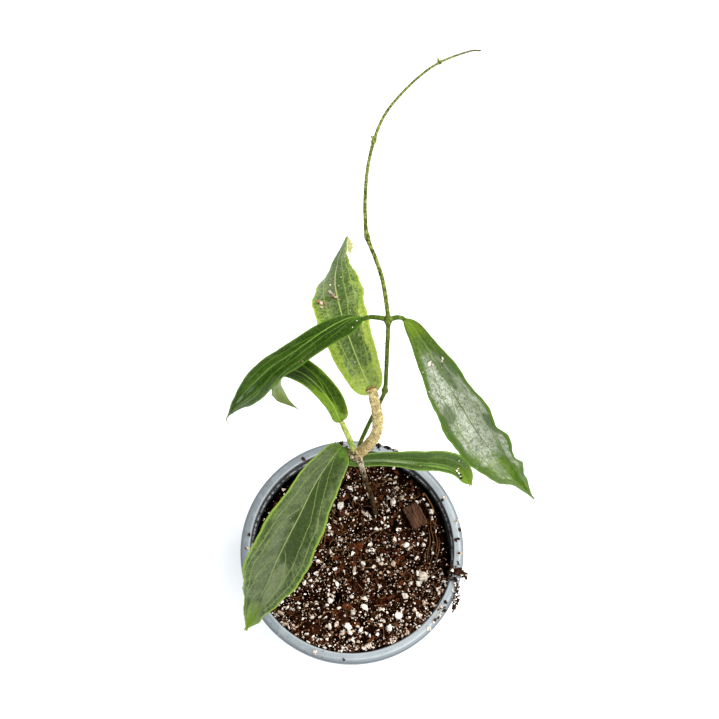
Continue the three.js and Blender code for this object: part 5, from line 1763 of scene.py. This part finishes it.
def make_chip():
    """The large loose chip of bark, with its long grain and ragged ends."""
    work = bmesh.new()
    bmesh.ops.create_cube(work, size=1)
    bmesh.ops.subdivide_edges(work, edges=work.edges, cuts=CHIP_CUTS, use_grid_fill=True)
    length, breadth, thickness = CHIP_SIZE
    for vertex in work.verts:
        x, y, z = vertex.co
        grain = noise.noise(Vector((x * 2, y * 16, z * 3)))
        rough = noise.noise(Vector((x * 9, y * 9, z * 9 + 4)))
        ragged = 0.9 * noise.noise(Vector((y * 8, z * 2, 9))) + 0.3 * rough - 0.25
        end = math.copysign(1, x)
        slant = 0.6 * y * end + 0.5 * x
        vertex.co = Vector((x * (length - 0.4) + (ragged * end if abs(x) > CHIP_FACE else 0),
                            y * (breadth - 0.6 - 0.8 * abs(x)) + (0.5 * rough if abs(y) > CHIP_FACE else 0),
                            z * (thickness - 0.5) + (0.55 * grain + 0.12 * slant if z > CHIP_FACE else 0)))
    flat, triangles = shell_of(work)
    cosine, sine = math.cos(CHIP_TURN), math.sin(CHIP_TURN)
    turn = np.array([[cosine, -sine, 0], [sine, cosine, 0], [0, 0, 1]])
    paint = Paint("chip_paint", roughness=0.9, specular=0.1)
    local = paint.stored("local")
    grain = paint.noise(paint.stretch(local, (0.16, 2.6, 1)), 1.0, 5.0, 0.75)
    blotch = paint.noise(local, 0.4, 3.0)
    colour = paint.mix(paint.step(grain, 0.4, 0.58), tone(26, 15, 10), tone(128, 90, 66))
    colour = paint.mix(paint.step(grain, 0.57, 0.64, 0.8), colour, tone(178, 142, 110))
    colour = paint.mix(paint.step(blotch, 0.5, 0.72, 0.5), colour, tone(112, 64, 36))
    chip = add_piece("loose_chip", flat @ turn.T + np.array(CHIP_CENTRE), triangles,
                     paint.done(colour, None, paint.bump(grain, 1.0, 0.9)), "bark", smooth=False, local=flat)
    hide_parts("bark_chip")


# ---------------------------------------------------------------- loose crumbs

RIM_CRUMBS = [   # x, y, how far the crumbs spread, how many, share that is pale
    (-8.6, 50.9, 1.8, 12, 0.1), (-5.4, 50.8, 1.8, 12, 0.3), (-3.2, 48.2, 1.2, 6, 0),
    (12.6, 49.8, 1.6, 14, 0.05), (17.5, 48.4, 1.2, 11, 0), (21.2, 47.2, 1.4, 11, 0.2),
    (9, 48.6, 1, 5, 0), (29.4, 41.4, 1, 4, 0.1), (44.4, 23.9, 1.1, 5, 0.9), (41.4, 21, 0.8, 3, 0),
    (49.6, 11.8, 1, 5, 0.8), (50.6, 8, 0.9, 4, 0.1), (48.8, 3.2, 0.9, 4, 0.2), (49.9, -3.6, 1, 5, 0.8),
    (49.4, -8.6, 1, 4, 0), (42.7, -25.7, 0.8, 4, 0), (39.5, -31.9, 1.4, 9, 0.25),
    (41, -28.6, 2, 12, 0.3), (35.2, -37.6, 1, 4, 0.9), (36.8, -34.6, 1, 5, 0.3),
    (-16.3, -47.3, 1.3, 5, 0.9), (-3.2, -50.6, 0.8, 3, 0), (-48.4, 5.1, 0.8, 2, 0),
    (-49.1, -0.5, 0.9, 3, 0.1), (-49.3, -11.2, 0.7, 2, 0.9), (-13.4, 47.4, 1, 4, 0),
    (-24, 42.6, 1, 3, 0.1),
]
SPILL_LINES = [   # the lines that the spilled crumbs follow over the rim, and how many lie along each
    ([(45.4, -10.6), (47.6, -12), (49.6, -12.4), (51.4, -13), (53, -15)], 150),
    ([(45, -14), (47.4, -15.4), (48.4, -17.6), (48, -21), (47.6, -25), (46.6, -29.6)], 110),
]
SPILL_SPREAD = 0.75           # how far the crumbs stray from those lines, and how high they pile up
SPILL_PILE = 0.8
SPILL_PALE = 0.16             # the share of them that is pale
SPILL_GRAINS = [(47.4, -18.1, 1.3), (45.4, -13.4, 1.1), (48.9, -15.4, 0.9), (46.2, -20.4, 0.8)]
RIM_SPECKS = 110              # how many tiny bits lie all round the rim, and the share that is pale
SPECKS_PALE = 0.25


def on_rim(x, y, height):
    """A place moved on to the flat of the rim."""
    reach = math.hypot(x, y)
    held = min(max(reach, RIM_INNER_RADIUS + 0.6), RIM_RADIUS - 0.9)
    return x * held / reach, y * held / reach, height


def make_rim_crumbs():
    """The crumbs that lie in small groups on the rim, and its tiny bits."""
    random = np.random.default_rng(8)
    places, sizes, pale = [], [], []
    for x, y, spread, count, white in RIM_CRUMBS:
        for _ in range(count):
            size = random.uniform(0.4, 1.4)
            px, py = x + random.normal(0, spread / 2), y + random.normal(0, spread / 2)
            places.append(on_rim(px, py, POT_HEIGHT + 0.45 * size))
            sizes.append(size)
            pale.append(random.random() < white)
    for _ in range(RIM_SPECKS):
        turn = random.uniform(0, TURN)
        reach = random.uniform(RIM_INNER_RADIUS + 0.5, RIM_RADIUS - 0.7)
        size = random.uniform(0.12, 0.26)
        places.append((reach * math.cos(turn), reach * math.sin(turn), POT_HEIGHT + 0.4 * size))
        sizes.append(size)
        pale.append(random.random() < SPECKS_PALE)
    add_crumbs("rim", np.array(places), np.array(sizes), np.array(pale), random)


def make_spill():
    """The heap of crumbs that has spilled over the rim, with a few pale grains."""
    random = np.random.default_rng(14)
    places = []
    for line, count in SPILL_LINES:
        spine, _ = curve_through([(x, y, 0) for x, y in line], random.random(count))
        places.append(spine + random.normal(0, 1, (count, 3)) * (SPILL_SPREAD, SPILL_SPREAD, 0))
    places = np.concatenate(places)
    sizes = sizes_of(random, len(places), 0.78, 0.38, 0.3, 1.5)
    reach = np.hypot(places[:, 0], places[:, 1])
    held = np.clip(reach, RIM_INNER_RADIUS - 1, RIM_RADIUS + 2.2)
    places *= (held / reach)[:, None]
    places[:, 2] = POT_HEIGHT + 0.5 * sizes + np.abs(random.normal(0, SPILL_PILE, len(places)))
    large = np.array([(x, y, POT_HEIGHT + 0.7 * size) for x, y, size in SPILL_GRAINS])
    pale = np.concatenate([random.random(len(places)) < SPILL_PALE, np.ones(len(large), bool)])
    sizes = np.concatenate([sizes, [size for *_, size in SPILL_GRAINS]])
    piece = add_crumbs("spill", np.concatenate([places, large]), sizes, pale, random)
    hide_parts("spilled_soil")


def add_crumbs(name, places, sizes, pale, random):
    """Dark crumbs, and pale ones where `pale` says so; gives the piece of dark ones."""
    shapes = [chunk_shell(random, 10, 0.7) for _ in range(8)]
    paint = grain_paint(name + "_dark_paint", (88, 56, 38), (12, 8, 6), 0.9, None, 0.06)
    piece = add_cloud(name + "_crumbs", shapes, places[~pale], sizes[~pale], random, paint, "soil")
    shapes = [chunk_shell(random, 13, 0.8) for _ in range(8)]
    paint = grain_paint(name + "_pale_paint", PERLITE_WHITE, (214, 184, 152), 0.9, (128, 90, 64))
    add_cloud(name + "_perlite", shapes, places[pale], sizes[pale], random, paint, "soil")
    return piece


# ---------------------------------------------------------------- the floor

FLOOR_REACH = 4.0             # half its width, in metres
FLOOR_COLOUR = (0.93, 0.945, 0.955, 1)


def make_floor():
    """A pale level floor, far wider than the picture."""
    mesh = bpy.data.meshes.new("floor")
    low, high = -FLOOR_REACH, FLOOR_REACH
    mesh.from_pydata([(low, low, 0), (high, low, 0), (high, high, 0), (low, high, 0)], [], [(0, 1, 2, 3)])
    floor = bpy.data.objects.new("floor", mesh)
    paint = Paint("floor_paint", roughness=0.9, specular=0.1)
    mesh.materials.append(paint.done(FLOOR_COLOUR))
    bpy.context.scene.collection.objects.link(floor)


# ---------------------------------------------------------------- the whole plant

make_camera()
make_lights()
make_floor()
make_pot()
make_soil()
make_grains()
make_fibres()
make_chip()
make_rim_crumbs()
make_spill()
make_woody_stem()
make_knobs()
make_vine()
for leaf_name, leaf_shape in LEAVES.items():
    make_leaf(leaf_name, leaf_shape, LOOKS[leaf_name])
    make_petiole(leaf_name, LOOKS[leaf_name])

make_leaf_marks()
make_dead_edge()
